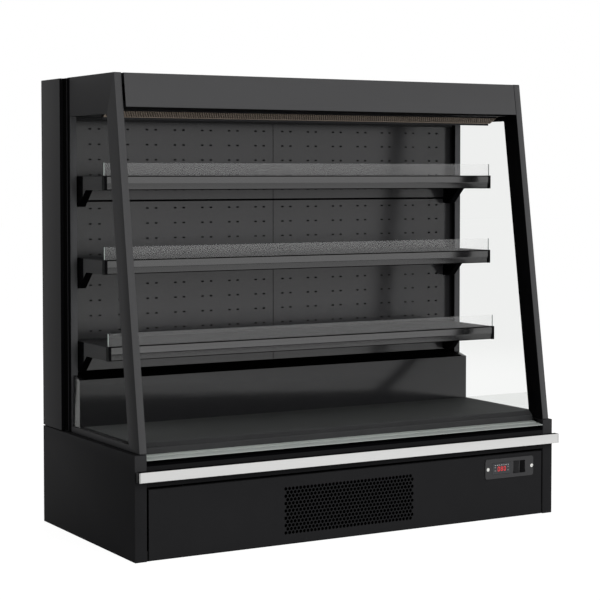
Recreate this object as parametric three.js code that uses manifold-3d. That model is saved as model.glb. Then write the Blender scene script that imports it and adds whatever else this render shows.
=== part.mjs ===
// Open multideck display cabinet: a raked front between glazed ends, three shelves with clear
// upstands, a perforated air-duct wall behind them and the cooling plant in the base.
// Millimetres. +X to the right and -Y to the front as the shopper sees it, +Z up. Places are
// reckoned from the middle of the body's footprint. The last group moves them so that the
// origin lies on the floor, in the middle of the whole footprint with its bumper.
import * as THREE from 'three';
import { mergeVertices } from 'three/addons/utils/BufferGeometryUtils.js';
import Module from 'manifold-3d';

const wasm = await Module();
wasm.setup();

// ---------------------------------------------------------------- driving dimensions
// Body
const bodyWidth = 1500;
const bodyDepth = 702;
const bodyHeight = 1410;
const baseHeight = 309;
const seat = 0.3;                // gap left between two pieces that rest on each other
const bite = 1;                  // overlap that makes a join or a cut clean
const sheet = 1.5;               // folded steel sheet inside the cabinet
const panelSheet = 2;            // painted outer panels
const shadowGap = 3;             // dark line between the base and what stands on it
const footInset = 4;             // foot in the shadow gap, behind the faces above it

// End frames and their glass
const frameInset = 15.5;         // outer face of an end frame behind the body's side
const frameThickness = 22;
const frameTopDepth = 535;       // from the top of the raked front to the rear of the body
const stileWidth = 72;
const rearStileWidth = 20;
const topBand = 120;
const sillHeight = 18;
const frameCorner = 3;
const endGlassThickness = 6;
const endGlassInset = 0.5;       // glass behind the frame's outer face

// Rear body
const rearBodyDepth = 154;
const recessGap = 24;            // dark upright joint between end frame and rear body
const rearWallThickness = 60;
const cheekThickness = 60;
const tongueInset = 12;          // tongue behind the rear body's side
const tongueThickness = 24;
const rearTopDrop = 1;           // rear body below the frames' top

// Air-duct wall
const panelFace = 166.5;         // from the rear of the body to the front of the slotted panels
const upperPanelHeight = 261.5;
const panelSeam = 0.6;
const slotLength = 9;
const slotHeight = 4;
const slotPairGap = 30.8;        // between the two slots of a pair
const slotPairPitch = 98.1;
const slotFirstPair = 50.7;      // middle of the first pair from the cabinet's middle
const slotPairs = 7;
const slotRowPitch = 96;
const upperRowTop = 25;          // first row below the cornice
const upperRowFoot = 20;         // no row closer than this to the panel's foot
const lowerRowTop = 24;          // first row below the seam between the panels
const lowerRowFoot = 100;

// Lower riser, deck and front sill
const riserFace = 248;           // from the rear of the body to the front of the riser
const riserTop = 477;
const riserBackTop = 497;        // where the slanted strip meets the slotted panels
const deckHeight = 332;
const deckRim = 14;
const deckFront = 73;            // from the front of the base to the deck's front edge
const grilleDrop = 14;
const grilleReach = 16;
const grilleLip = 17;
const grilleSlots = 16;
const grilleSlotWidth = 7;
const grilleBar = 14;
const ledgeRear = 54;            // from the front of the base to the ledge's rear edge
const ledgeFrontHeight = 293;
const ledgeRearHeight = 301;
const ledgeNose = 2;
const ledgeGap = 8;              // dark joint under the ledge's nose
const ledgeNoseDepth = 16;
const sillGlassThickness = 6;
const sillGlassSetback = 28;     // from the front of the base to the sill glass
const sillGlassHeight = 399;
const sillGlassGroove = 10;
const sillGlassEnd = 9;          // each end of the sill glass short of the base's posts

// Base
const postSheet = 3;
const postReturn = 30;
const sideSheet = 3;
const panFlange = 30;
const panSetback = 6;
const kickTop = 207.6;
const kickFoot = 3;
const kickSideGap = 6;
const kickReturn = 12;
const fasciaBottom = 215;
const fasciaReturn = 26;
const backLouvres = 8;
const backLouvreRows = 3;
const backLouvreWidth = 110;
const backLouvreHeight = 8;
const backLouvreBar = 30;
const tubFloor = 20;
const tubBottom = 6;             // tub above the fascia's bottom edge
const tubWall = 30;
const tubFront = 36;

// Punched vent in the kick panel
const ventPitch = 30;
const ventHole = 24;             // across the flats
const ventColumns = 15;
const ventRows = 5;
const ventCentreX = -26.5;
const ventCentreZ = 102.5;

// Bumper
const bumperReach = 35;          // in front of the base
const bumperDepth = 22;
const bumperHeight = 30;
const bumperBottom = 235;
const bumperSheet = 2.5;
const bumperCap = 2.7;
const bumperCapPlug = 8;
const bumperOverhang = 1;
const standoffWidth = 60;
const standoffHeight = 20;
const standoffInset = 80;        // from the base's side to the middle of a standoff

// Canopy
const canopyHeight = 100;
const canopyDrop = 1;            // below the frames' top
const canopyProud = 6;
const canopySideGap = 6;
const canopyNose = 6;            // lip under the canopy's face
const canopyTopReturn = 30;
const lampChannelDepth = 50;
const lampChannelRise = 18;
const soffitDepth = 58;
const soffitDrop = 4;
const soffitFlange = 24;
const diffuserWidth = 51;
const diffuserThickness = 20;
const diffuserTilt = 25.5;       // degrees, rear edge lower
const cellRows = 2;
const cellsPerRow = 20;
const cellWall = 5;
const ceilingDrop = 120;         // ceiling below the frames' top
const ceilingFlange = 13;
const roofThickness = 30;
const lampLength = 1340;
const lampDepth = 24;
const lampHeight = 12;

// Shelves, from the bottom
const shelfHeights = [595.5, 854.5, 1107.5];
const shelfReaches = [266, 241, 241];   // from the slotted panels to the front of the rail
const shelfSideGap = 3.5;               // shelf end to end frame
const shelfRim = 20;
const ribDepth = 12;
const ribWidth = 40;
const railHeight = 43.5;
const railBulge = 9;
const railSheet = 2;
const railBack = 4;
const railBow = 5.4;                    // how far the face's middle is drawn out
const railGroove = 8.7;                 // depth of the upstand's groove
const upstandThickness = 4;
const upstandHeight = 39;
const upstandSetback = 5;
const bracketWidth = 24;
const bracketSheet = 2;
const armDepth = 44;
const heelDepth = 96.5;
const heelLength = 34;
const heelSlope = 58;
const hookHeight = 20;
const hookDrop = 6;
const hookThickness = 2;
const hookTongue = 3;                   // what drops behind the panel
const hookEase = 2;                     // hook lower than its slot at the top
const hookSlotClearance = 1.2;
const hookHeights = [-30, -78];

// Control panel
const bezelCentreX = 574.7;
const bezelCentreZ = 164;
const bezelWidth = 192;
const bezelHeight = 64;
const bezelCorner = 9;
const bezelProud = 4;
const controllerWidth = 75;
const controllerHeight = 36.5;
const controllerCentreX = 542.6;
const controllerDepth = 58;
const keyWidth = 6;
const keyHeight = 4.5;
const keyDepth = 4;
const keyProud = 1.2;
const keyTravel = 0.8;
const keySpread = 51;
const keyPitch = 11;
const keyDrop = 1;               // keys below the middle of the controller
const switchCentreX = 613.5;
const rockerWidth = 21;
const rockerHeight = 38;
const rockerDepth = 9;
const rockerProud = 2.6;
const rockerDish = 1.6;          // hollow of the rocker's face
const rockerShoulder = 1;        // straight edge before the back curves in
const rockerBackHeight = 23;     // where the curve of the back turns
const rockerTilt = 7;            // degrees each way from the middle
const rockerBridge = 3;
const rockerWellDepth = 16;
const rockerClearance = 1.2;
const moduleWall = 2;

// Cooling plant
const compressorRadius = 72;
const compressorHeight = 160;
const compressorX = -470;
const compressorY = 60;
const compressorSeamHeight = 72; // welded seam round the pot
const compressorSeamWidth = 8;
const compressorSeamProud = 3;
const compressorShoulder = 131;  // where the dome starts
const compressorShoulderIn = 4;
const compressorCrownRadius = 43;
const compressorFoot = 8;
const compressorFootReach = 14;
const compressorFootDepth = 100;
const compressorLift = 6;        // pot above the underside of its foot plate
const condenserLength = 410;
const condenserHeight = 172;
const condenserDepth = 40;
const condenserSetback = 14;
const condenserFins = 18;
const condenserFanRadius = 76;
const evaporatorLength = 1120;
const evaporatorDepth = 120;
const evaporatorY = 0;
const evaporatorClear = 8;
const evaporatorFins = 22;
const evaporatorFanX = 280;
const evaporatorFanPlate = 80;   // fan plate in front of the fins
const finGap = 0.55;             // share of a fin's pitch that is open
const fanTipGap = 3;
const webShare = 0.2;            // share of a coil's depth that is tube sheet
const coilCheek = 3;
const fanRim = 4;                // plate left round a fan's opening
const fanHubShare = 0.3;         // of the fan's radius
const fanWidth = 14;
const fanBlades = 5;
const bladeThickness = 1.4;
const bladeChordShare = 0.5;     // of the fan's radius
const bladeRootShare = 0.6;      // of the hub's radius
const bladeTwist = 29;           // degrees
const motorDepth = 26;
const armWidth = 6;
const armThickness = 4;
const armLeg = 5;

// ---------------------------------------------------------------- places that follow
const sideX = bodyWidth / 2;
const frontY = -bodyDepth / 2;
const rearY = bodyDepth / 2;
const frameOuterX = sideX - frameInset;
const frameInnerX = frameOuterX - frameThickness;
const postX = frameInnerX;       // the base's front posts line up with the end frames
const frameFoot = baseHeight + shadowGap;
const frameRearY = rearY - rearBodyDepth - recessGap;
const frameTopY = rearY - frameTopDepth;
const ceilingHeight = bodyHeight - ceilingDrop;
const panelSplitHeight = ceilingHeight - upperPanelHeight;
const rake = Math.atan2(frameTopY - frontY, bodyHeight - frameFoot);
const rakeY = (z) => frontY + (z - frameFoot) * Math.tan(rake);
const panelY = rearY - panelFace;
const panelBackY = panelY + sheet;
const riserY = rearY - riserFace;
const deckFrontY = frontY + deckFront;
const insideX = frameInnerX - seat;
const tubZ = fasciaBottom + tubBottom;
const bumperY = frontY - bumperReach;

// ---------------------------------------------------------------- materials
const finish = (color, roughness, metalness = 0) =>
  new THREE.MeshStandardMaterial({ color, roughness, metalness });
const glassFinish = () => {
  const material = finish(0xdfe6e4, 0.05);
  material.transparent = true;
  material.opacity = 0.25;
  return material;
};
const bodyPaint = finish(0x2b2b2c, 0.45);
const framePaint = finish(0x343435, 0.4);
const innerPaint = finish(0x3d3d3e, 0.5);
const canopyPaint = finish(0x4a4a4b, 0.45);
const blackPlastic = finish(0x101011, 0.5);
const brushedSteel = finish(0xd8d8d8, 0.28, 1);
const ledgeMetal = finish(0x8c918e, 0.35, 0.8);
const clearGlass = glassFinish();
const opal = finish(0xe8e8e2, 0.4);
const finAluminium = finish(0xb4b6b8, 0.4, 0.9);
const castBlack = finish(0x151516, 0.6, 0.2);

// ---------------------------------------------------------------- shapes and solids
/** A closed outline from corner points, each corner rounded by the same radius. */
function outline(points, radius = 0) {
  const shape = new THREE.Shape();
  const corners = points.map(([x, y]) => new THREE.Vector2(x, y));
  corners.forEach((corner, i) => {
    const before = corners[(i + corners.length - 1) % corners.length];
    const after = corners[(i + 1) % corners.length];
    const start = corner.clone().add(before.clone().sub(corner).setLength(radius));
    const end = corner.clone().add(after.clone().sub(corner).setLength(radius));
    if (i === 0) shape.moveTo(start.x, start.y);
    else shape.lineTo(start.x, start.y);
    if (radius > 0) shape.quadraticCurveTo(corner.x, corner.y, end.x, end.y);
  });
  shape.closePath();
  return shape;
}

function rectangle(x0, x1, y0, y1, radius = 0) {
  return outline([[x0, y0], [x1, y0], [x1, y1], [x0, y1]], radius);
}

/** Extrudes one outline, or a list of outlines that lie apart. */
function extrude(shape, depth, curveSegments = 4) {
  return new THREE.ExtrudeGeometry(shape, { depth, bevelEnabled: false, curveSegments });
}

/** Carries an outline drawn in Y and Z along X. */
function alongX(shape, x0, x1, curveSegments) {
  const turn = new THREE.Matrix4().makeBasis(
    new THREE.Vector3(0, 1, 0),
    new THREE.Vector3(0, 0, 1),
    new THREE.Vector3(1, 0, 0),
  );
  return extrude(shape, x1 - x0, curveSegments).applyMatrix4(turn).translate(x0, 0, 0);
}

/** Carries an outline drawn in X and Z along Y. */
function alongY(shape, y0, y1, curveSegments) {
  const turn = new THREE.Matrix4().makeBasis(
    new THREE.Vector3(1, 0, 0),
    new THREE.Vector3(0, 0, 1),
    new THREE.Vector3(0, -1, 0),
  );
  return extrude(shape, y1 - y0, curveSegments).applyMatrix4(turn).translate(0, y1, 0);
}

/** Carries an outline drawn in X and Y along Z. */
function alongZ(shape, z0, z1, curveSegments) {
  return extrude(shape, z1 - z0, curveSegments).translate(0, 0, z0);
}

function block(x0, x1, y0, y1, z0, z1) {
  const size = new THREE.BoxGeometry(x1 - x0, y1 - y0, z1 - z0);
  return size.translate((x0 + x1) / 2, (y0 + y1) / 2, (z0 + z1) / 2);
}

function toSolid(geometry) {
  const bare = geometry.clone();
  bare.deleteAttribute('normal');
  bare.deleteAttribute('uv');
  const merged = mergeVertices(bare, 1e-4);
  return new wasm.Manifold(new wasm.Mesh({
    numProp: 3,
    vertProperties: new Float32Array(merged.attributes.position.array),
    triVerts: new Uint32Array(merged.index.array),
  }));
}

function toGeometry(solid) {
  const mesh = solid.getMesh();
  const geometry = new THREE.BufferGeometry();
  geometry.setAttribute('position', new THREE.BufferAttribute(mesh.vertProperties, 3));
  geometry.setIndex(new THREE.BufferAttribute(mesh.triVerts, 1));
  geometry.computeVertexNormals();
  return geometry;
}

/** Joins the first list of closed geometries and cuts the second list out of them. */
function join(parts, cuts = []) {
  let solid = toSolid(parts[0]);
  for (const part of parts.slice(1)) solid = solid.add(toSolid(part));
  for (const cut of cuts) solid = solid.subtract(toSolid(cut));
  return toGeometry(solid);
}

/** Carries a plate's outline with alongX, alongY or alongZ and punches holes through it. */
function punched(along, plate, holes, from, to) {
  return join([along(plate, from, to)], [along(holes, from - bite, to + bite)]);
}

/** Places in a row, evenly spaced about the middle. */
function spread(count, pitch) {
  return Array.from({ length: count }, (_, i) => (i - (count - 1) / 2) * pitch);
}

const cabinet = new THREE.Group();

function add(name, geometry, material, parent = cabinet) {
  const mesh = new THREE.Mesh(geometry, material);
  mesh.name = name;
  parent.add(mesh);
  return mesh;
}

const sides = [['left', -1], ['right', 1]];

/** A block that lies on one side of the cabinet, given from its inner to its outer face. */
function sideBlock(sign, inner, outer, y0, y1, z0, z1) {
  const [x0, x1] = sign < 0 ? [-outer, -inner] : [inner, outer];
  return block(x0, x1, y0, y1, z0, z1);
}

function sidePrism(sign, shape, inner, outer, curveSegments) {
  const [x0, x1] = sign < 0 ? [-outer, -inner] : [inner, outer];
  return alongX(shape, x0, x1, curveSegments);
}

// ---------------------------------------------------------------- base
function baseFloor() {
  const x = postX - seat;
  const y0 = frontY + panSetback;
  const y1 = rearY - sideSheet - seat;
  const tray = block(-x, x, y0, y1, 0, panFlange);
  const hollow = block(
    -x + panelSheet, x - panelSheet, y0 + panelSheet, y1 - panelSheet,
    panelSheet, panFlange + bite,
  );
  return join([tray], [hollow]);
}

/** Side skin folded round a front post and a rear flange, under a flat rim. */
function baseSide(sign) {
  const plan = [
    [sideX, frontY], [sideX, rearY], [postX, rearY], [postX, rearY - sideSheet],
    [sideX - sideSheet, rearY - sideSheet], [sideX - sideSheet, frontY + postSheet],
    [postX + postSheet, frontY + postSheet], [postX + postSheet, frontY + postReturn],
    [postX, frontY + postReturn], [postX, frontY],
  ].map(([x, y]) => [sign * x, y]);
  const skin = alongZ(outline(sign > 0 ? plan : plan.reverse()), 0, baseHeight);
  const rim = sideBlock(
    sign, postX, sideX, frontY, rearY, baseHeight - sideSheet, baseHeight,
  );
  return join([skin, rim]);
}

function baseBack() {
  const x = postX - seat;
  const plate = rectangle(-x, x, panelSheet, tubZ - seat);
  const columns = spread(backLouvres, backLouvreWidth + backLouvreBar);
  const rows = spread(backLouvreRows, tubZ / (backLouvreRows + 1));
  const holes = rows.flatMap((dz) => columns.map((cx) => {
    const z = tubZ / 2 + dz;
    return rectangle(
      cx - backLouvreWidth / 2, cx + backLouvreWidth / 2,
      z - backLouvreHeight / 2, z + backLouvreHeight / 2,
    );
  }));
  return punched(alongY, plate, holes, rearY - sideSheet + seat, rearY);
}

/** Hexagonal holes in staggered rows, the flats upright. */
function ventHoles() {
  const radius = ventHole / Math.sqrt(3);
  const rowPitch = ventPitch * Math.sin(Math.PI / 3);
  const holes = [];
  spread(ventRows, rowPitch).forEach((dz, row) => {
    const shift = (row % 2 ? 1 : -1) * ventPitch / 4;
    for (const dx of spread(ventColumns, ventPitch)) {
      const hexagon = [0, 1, 2, 3, 4, 5].map((k) => {
        const angle = Math.PI / 6 + k * Math.PI / 3;
        const x = ventCentreX + dx + shift + radius * Math.cos(angle);
        return [x, ventCentreZ + dz + radius * Math.sin(angle)];
      });
      holes.push(outline(hexagon));
    }
  });
  return holes;
}

const bezelX0 = bezelCentreX - bezelWidth / 2;
const bezelX1 = bezelCentreX + bezelWidth / 2;
const controllerX0 = controllerCentreX - controllerWidth / 2;
const controllerX1 = controllerCentreX + controllerWidth / 2;
const wellWidth = rockerWidth + 2 * seat;
const switchHalf = wellWidth + rockerBridge / 2;
const switchX0 = switchCentreX - switchHalf;
const switchX1 = switchCentreX + switchHalf;
const wellHalfHeight = rockerHeight / 2 + rockerClearance;

function kickPanel() {
  const x = postX - kickSideGap;
  const plate = rectangle(-x, x, kickFoot, kickTop);
  const cutout = rectangle(
    controllerX0 - seat - moduleWall, switchX1 + moduleWall + seat,
    bezelCentreZ - wellHalfHeight - moduleWall - seat,
    bezelCentreZ + wellHalfHeight + moduleWall + seat,
  );
  const backOfPlate = frontY + panelSheet;
  const top = block(
    -x, x, backOfPlate - bite, backOfPlate + kickReturn, kickTop - panelSheet, kickTop,
  );
  const foot = block(
    -x, x, backOfPlate - bite, frontY + panSetback - seat, kickFoot, kickFoot + panelSheet,
  );
  const holes = [...ventHoles(), cutout];
  return join([punched(alongY, plate, holes, frontY, backOfPlate), top, foot]);
}

add('base_floor', baseFloor(), bodyPaint);
for (const [side, sign] of sides) add(`base_side_${side}`, baseSide(sign), bodyPaint);
add('base_back', baseBack(), bodyPaint);
add('kick_panel', kickPanel(), bodyPaint);

// ---------------------------------------------------------------- fascia and bumper
const fasciaTop = ledgeFrontHeight - ledgeNose - ledgeGap;
const bumperMidZ = bumperBottom + bumperHeight / 2;
const bumperEndX = sideX + bumperOverhang;

/** Channel behind the bumper, with the two standoffs that carry it. */
function frontFascia() {
  const x = postX - seat;
  const inner = frontY + panelSheet;
  const profile = outline([
    [frontY, fasciaBottom], [frontY + fasciaReturn, fasciaBottom],
    [frontY + fasciaReturn, fasciaBottom + panelSheet], [inner, fasciaBottom + panelSheet],
    [inner, fasciaTop - panelSheet], [frontY + fasciaReturn, fasciaTop - panelSheet],
    [frontY + fasciaReturn, fasciaTop], [frontY, fasciaTop],
  ]);
  const standoffs = [-1, 1].map((sign) => {
    const cx = sign * (sideX - standoffInset);
    return block(
      cx - standoffWidth / 2, cx + standoffWidth / 2,
      bumperY + bumperSheet + seat, frontY + bite,
      bumperMidZ - standoffHeight / 2, bumperMidZ + standoffHeight / 2,
    );
  });
  return join([alongX(profile, -x, x), ...standoffs]);
}

/** Brushed channel, open to the rear. */
function bumperBar() {
  const z0 = bumperBottom;
  const z1 = bumperBottom + bumperHeight;
  const lip = bumperY + bumperDepth;
  const profile = outline([
    [bumperY, z0], [lip, z0], [lip, z0 + bumperSheet], [bumperY + bumperSheet, z0 + bumperSheet],
    [bumperY + bumperSheet, z1 - bumperSheet], [lip, z1 - bumperSheet], [lip, z1], [bumperY, z1],
  ]);
  const x = bumperEndX - bumperCap - seat;
  return alongX(profile, -x, x);
}

function bumperEnd(sign) {
  const plate = sideBlock(
    sign, bumperEndX - bumperCap, bumperEndX, bumperY, bumperY + bumperDepth,
    bumperBottom, bumperBottom + bumperHeight,
  );
  const play = bumperSheet + seat;
  const plug = sideBlock(
    sign, bumperEndX - bumperCap - bumperCapPlug, bumperEndX - bite,
    bumperY + play, bumperY + bumperDepth - play,
    bumperBottom + play, bumperBottom + bumperHeight - play,
  );
  return join([plate, plug]);
}

add('front_fascia', frontFascia(), bodyPaint);
add('bumper_bar', bumperBar(), brushedSteel);
for (const [side, sign] of sides) add(`bumper_end_${side}`, bumperEnd(sign), blackPlastic);

// ---------------------------------------------------------------- front sill
const ledgeRearY = frontY + ledgeRear;
const ledgeFall = (ledgeRearHeight - ledgeFrontHeight) / ledgeRear;
const ledgeZ = (y) => ledgeFrontHeight + (y - frontY) * ledgeFall;
const sillGlassY = frontY + sillGlassSetback;

function frontLedge() {
  const g0 = sillGlassY - seat;
  const g1 = sillGlassY + sillGlassThickness + seat;
  const bottom = fasciaTop + seat;
  const profile = outline([
    [frontY, ledgeFrontHeight - ledgeNose], [frontY + ledgeNoseDepth, ledgeFrontHeight - ledgeNose],
    [frontY + ledgeNoseDepth, bottom], [ledgeRearY, bottom], [ledgeRearY, ledgeZ(ledgeRearY)],
    [g1, ledgeZ(g1)], [g1, ledgeZ(g1) - sillGlassGroove],
    [g0, ledgeZ(g1) - sillGlassGroove], [g0, ledgeZ(g0)], [frontY, ledgeFrontHeight],
  ]);
  return alongX(profile, -postX + seat, postX - seat);
}

function frontGlass() {
  const x = postX - sillGlassEnd;
  const foot = ledgeZ(sillGlassY + sillGlassThickness + seat) - sillGlassGroove + seat;
  return block(-x, x, sillGlassY, sillGlassY + sillGlassThickness, foot, sillGlassHeight);
}

/** Slanted air-return strip with a row of slots, folded down into a lip. */
function returnGrille() {
  const rear = deckFrontY - seat;
  const front = rear - grilleReach;
  const shoulder = deckHeight - grilleDrop;
  const foot = shoulder - grilleLip;
  const slant = Math.atan2(grilleDrop, grilleReach);
  const offset = sheet / Math.cos(slant);
  const profile = outline([
    [front, foot], [front, shoulder], [rear, deckHeight], [rear, deckHeight - offset],
    [front + sheet, shoulder - offset + sheet * Math.tan(slant)], [front + sheet, foot],
  ].reverse());
  const pitch = (2 * insideX - grilleBar) / grilleSlots;
  const slots = spread(grilleSlots, pitch).map((cx) => {
    const slot = new THREE.BoxGeometry(pitch - grilleBar, grilleSlotWidth, 2 * offset + bite);
    slot.rotateX(slant);
    return slot.translate(cx, rear - grilleReach / 2, deckHeight - grilleDrop / 2);
  });
  return join([alongX(profile, -insideX, insideX)], slots);
}

function deckPan() {
  const rear = riserY - seat;
  const z = deckHeight;
  const profile = outline([
    [deckFrontY, z - deckRim], [deckFrontY + sheet, z - deckRim], [deckFrontY + sheet, z - sheet],
    [rear - sheet, z - sheet], [rear - sheet, z - deckRim], [rear, z - deckRim],
    [rear, z], [deckFrontY, z],
  ]);
  return alongX(profile, -insideX, insideX);
}

/** Foamed tub under the deck: floor, side walls that carry the deck, front and rear walls. */
function insulatedTub() {
  const x = postX - seat;
  const inner = x - tubWall;
  const y0 = frontY + fasciaReturn + seat;
  const y1 = rearY - sideSheet - seat;
  const wallTop = deckHeight - sheet - seat;
  const body = block(-x, x, ledgeRearY + seat, panelBackY - seat, tubZ, wallTop);
  const front = block(-x, x, y0, ledgeRearY + bite, tubZ, fasciaTop);
  const rear = block(-x, x, panelBackY - bite, y1, tubZ, baseHeight);
  const hollow = block(
    -inner, inner, y0 + tubFront, rearY - rearWallThickness, tubZ + tubFloor, deckHeight,
  );
  const deckNotch = block(
    -x - bite, x + bite, ledgeRearY - bite, deckFrontY + sheet + seat,
    deckHeight - deckRim - grilleLip - seat, deckHeight,
  );
  const rimNotch = block(
    -x - bite, x + bite, riserY - sheet - 2 * seat, riserY,
    deckHeight - deckRim - seat, deckHeight,
  );
  return join([body, front, rear], [hollow, deckNotch, rimNotch]);
}

add('front_ledge', frontLedge(), ledgeMetal);
add('front_glass', frontGlass(), clearGlass);
add('return_grille', returnGrille(), innerPaint);
add('deck_pan', deckPan(), innerPaint);
add('insulated_tub', insulatedTub(), castBlack);

// ---------------------------------------------------------------- end frames and glass
const frameSillZ = frameFoot + sillHeight;
const frameHeadZ = bodyHeight - topBand;
const openingRearY = frameRearY - rearStileWidth;
const stileRun = stileWidth / Math.cos(rake);

/** The glazed opening's outline, drawn in by a margin. */
function openingPoints(margin) {
  const y = (z) => rakeY(z) + stileRun + margin / Math.cos(rake);
  const z0 = frameSillZ + margin;
  const z1 = frameHeadZ - margin;
  return [[y(z0), z0], [openingRearY - margin, z0], [openingRearY - margin, z1], [y(z1), z1]];
}

function endFrame(sign) {
  const shape = outline([
    [rakeY(frameFoot), frameFoot], [frameRearY, frameFoot],
    [frameRearY, bodyHeight], [rakeY(bodyHeight), bodyHeight],
  ], frameCorner);
  shape.holes.push(outline(openingPoints(0), frameCorner));
  const frame = sidePrism(sign, shape, frameInnerX, frameOuterX, 2);
  const foot = sideBlock(
    sign, frameInnerX + footInset, frameOuterX - footInset,
    frontY + 2 * footInset, frameRearY - footInset, baseHeight + seat, frameFoot + bite,
  );
  return join([frame, foot]);
}

function endGlass(sign) {
  const outer = frameOuterX - endGlassInset;
  const pane = outline(openingPoints(seat), frameCorner);
  return sidePrism(sign, pane, outer - endGlassThickness, outer, 2);
}

for (const [side, sign] of sides) {
  add(`side_frame_${side}`, endFrame(sign), framePaint);
  add(`side_glass_${side}`, endGlass(sign), clearGlass);
}

// ---------------------------------------------------------------- rear body and roof
/** Foamed rear body in plan: rear wall, cheeks, the panels' seats and the frames' tongues. */
function rearBody() {
  const seatX = sideX - tongueInset - tongueThickness;
  const half = [
    [sideX - cheekThickness, rearY - rearWallThickness],
    [sideX - cheekThickness, panelBackY + seat], [seatX, panelBackY + seat],
    [seatX, frameRearY + seat], [sideX - tongueInset, frameRearY + seat],
    [sideX - tongueInset, rearY - rearBodyDepth], [sideX, rearY - rearBodyDepth], [sideX, rearY],
  ];
  const mirrored = half.map(([x, y]) => [-x, y]).reverse();
  const plan = outline([...half, ...mirrored]);
  const foot = block(
    -sideX + footInset, sideX - footInset, rearY - rearWallThickness + footInset,
    rearY - footInset, baseHeight + seat, frameFoot + bite,
  );
  return join([alongZ(plan, frameFoot, bodyHeight - rearTopDrop), foot]);
}

/** Insulated roof between the end frames, reaching back over the duct between the cheeks. */
function roofPanel() {
  const cheek = sideX - cheekThickness - seat;
  const front = rakeY(bodyHeight) + canopyProud;
  const plan = outline([
    [-insideX, front], [insideX, front], [insideX, panelBackY], [cheek, panelBackY],
    [cheek, rearY - rearWallThickness - seat], [-cheek, rearY - rearWallThickness - seat],
    [-cheek, panelBackY], [-insideX, panelBackY],
  ]);
  const top = bodyHeight - canopyDrop - panelSheet - seat;
  return alongZ(plan, top - roofThickness, top);
}

add('rear_body', rearBody(), bodyPaint);
add('roof_panel', roofPanel(), bodyPaint);

// ---------------------------------------------------------------- air-duct wall
const shelfEndX = frameInnerX - shelfSideGap;
const bracketOuterX = shelfEndX;
const bracketInnerX = bracketOuterX - bracketWidth;
const hookX = bracketInnerX + hookThickness / 2;
const corniceFoot = ceilingHeight - ceilingFlange;

/** Slot centres of one half panel, measured from the cabinet's middle. */
function slotColumns() {
  return Array.from({ length: slotPairs }, (_, pair) => slotFirstPair + pair * slotPairPitch)
    .flatMap((centre) => [centre - slotPairGap / 2, centre + slotPairGap / 2]);
}

function backPanel(sign, z0, z1, rowTop, rowFoot) {
  const [x0, x1] = sign < 0 ? [-insideX, -panelSeam / 2] : [panelSeam / 2, insideX];
  const holes = [];
  for (let z = rowTop; z >= z0 + rowFoot; z -= slotRowPitch) {
    for (const column of slotColumns()) {
      const x = sign * column;
      holes.push(rectangle(
        x - slotLength / 2, x + slotLength / 2, z - slotHeight / 2, z + slotHeight / 2,
      ));
    }
  }
  const half = hookThickness / 2 + hookSlotClearance;
  for (const shelf of shelfHeights) {
    for (const hook of hookHeights) {
      const z = shelf + hook;
      holes.push(rectangle(
        sign * hookX - half, sign * hookX + half,
        z - hookHeight / 2 - hookDrop, z + hookHeight / 2 + hookSlotClearance,
      ));
    }
  }
  return punched(alongY, rectangle(x0, x1, z0, z1), holes, panelY, panelBackY);
}

for (const [side, sign] of sides) {
  const upperTop = ceilingHeight - seat;
  const split = panelSplitHeight;
  add(
    `back_panel_upper_${side}`,
    backPanel(sign, split + panelSeam / 2, upperTop, corniceFoot - upperRowTop, upperRowFoot),
    innerPaint,
  );
  add(
    `back_panel_lower_${side}`,
    backPanel(
      sign, riserBackTop + seat, split - panelSeam / 2, split - lowerRowTop, lowerRowFoot,
    ),
    innerPaint,
  );
}

// ---------------------------------------------------------------- lower riser
const stripRearY = panelBackY;
const stripRise = (riserBackTop - riserTop) / (stripRearY - riserY);
const stripZ = (y) => riserTop + (y - riserY) * stripRise;
const stripSlope = Math.atan(stripRise);
const stripFrontY = riserY + sheet + seat + sheet * Math.sin(stripSlope);
const riserEndX = frameOuterX - endGlassInset - endGlassThickness - seat;

/** Riser sheet in front of the duct, with end plates that fill the end frames' rear corners. */
function riserPanel() {
  const foot = frameSillZ + seat;
  const front = block(-riserEndX, riserEndX, riserY, riserY + sheet, foot, riserTop);
  const rear = openingRearY - seat;
  const plateShape = outline([
    [riserY, foot], [rear, foot], [rear, stripZ(rear)], [riserY, riserTop],
  ], frameCorner);
  const plates = [-1, 1].map((sign) => sidePrism(sign, plateShape, insideX + seat, riserEndX));
  return join([front, ...plates]);
}

/** Plain slanted strip between the riser's top edge and the slotted panels. */
function riserStrip() {
  const length = (stripRearY - stripFrontY - seat) / Math.cos(stripSlope);
  return block(-insideX, insideX, 0, length, 0, sheet);
}

add('riser_panel', riserPanel(), innerPaint);
const strip = add('riser_strip', riserStrip(), blackPlastic);
strip.rotation.x = stripSlope;
strip.position.set(0, stripFrontY, stripZ(stripFrontY) - sheet / Math.cos(stripSlope));

// ---------------------------------------------------------------- canopy
const canopyTopZ = bodyHeight - canopyDrop;
const canopyFootZ = canopyTopZ - canopyHeight;
const canopyX = frameInnerX - canopySideGap;
const canopyY = (z) => rakeY(z) - canopyProud / Math.cos(rake);
const channelRearY = canopyY(canopyFootZ) + lampChannelDepth;
const soffitRearY = channelRearY + soffitDepth;
const soffitZ = canopyFootZ - soffitDrop;
const channelTopZ = canopyFootZ + lampChannelRise;
const diffuserFrontY = soffitRearY + seat;

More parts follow.
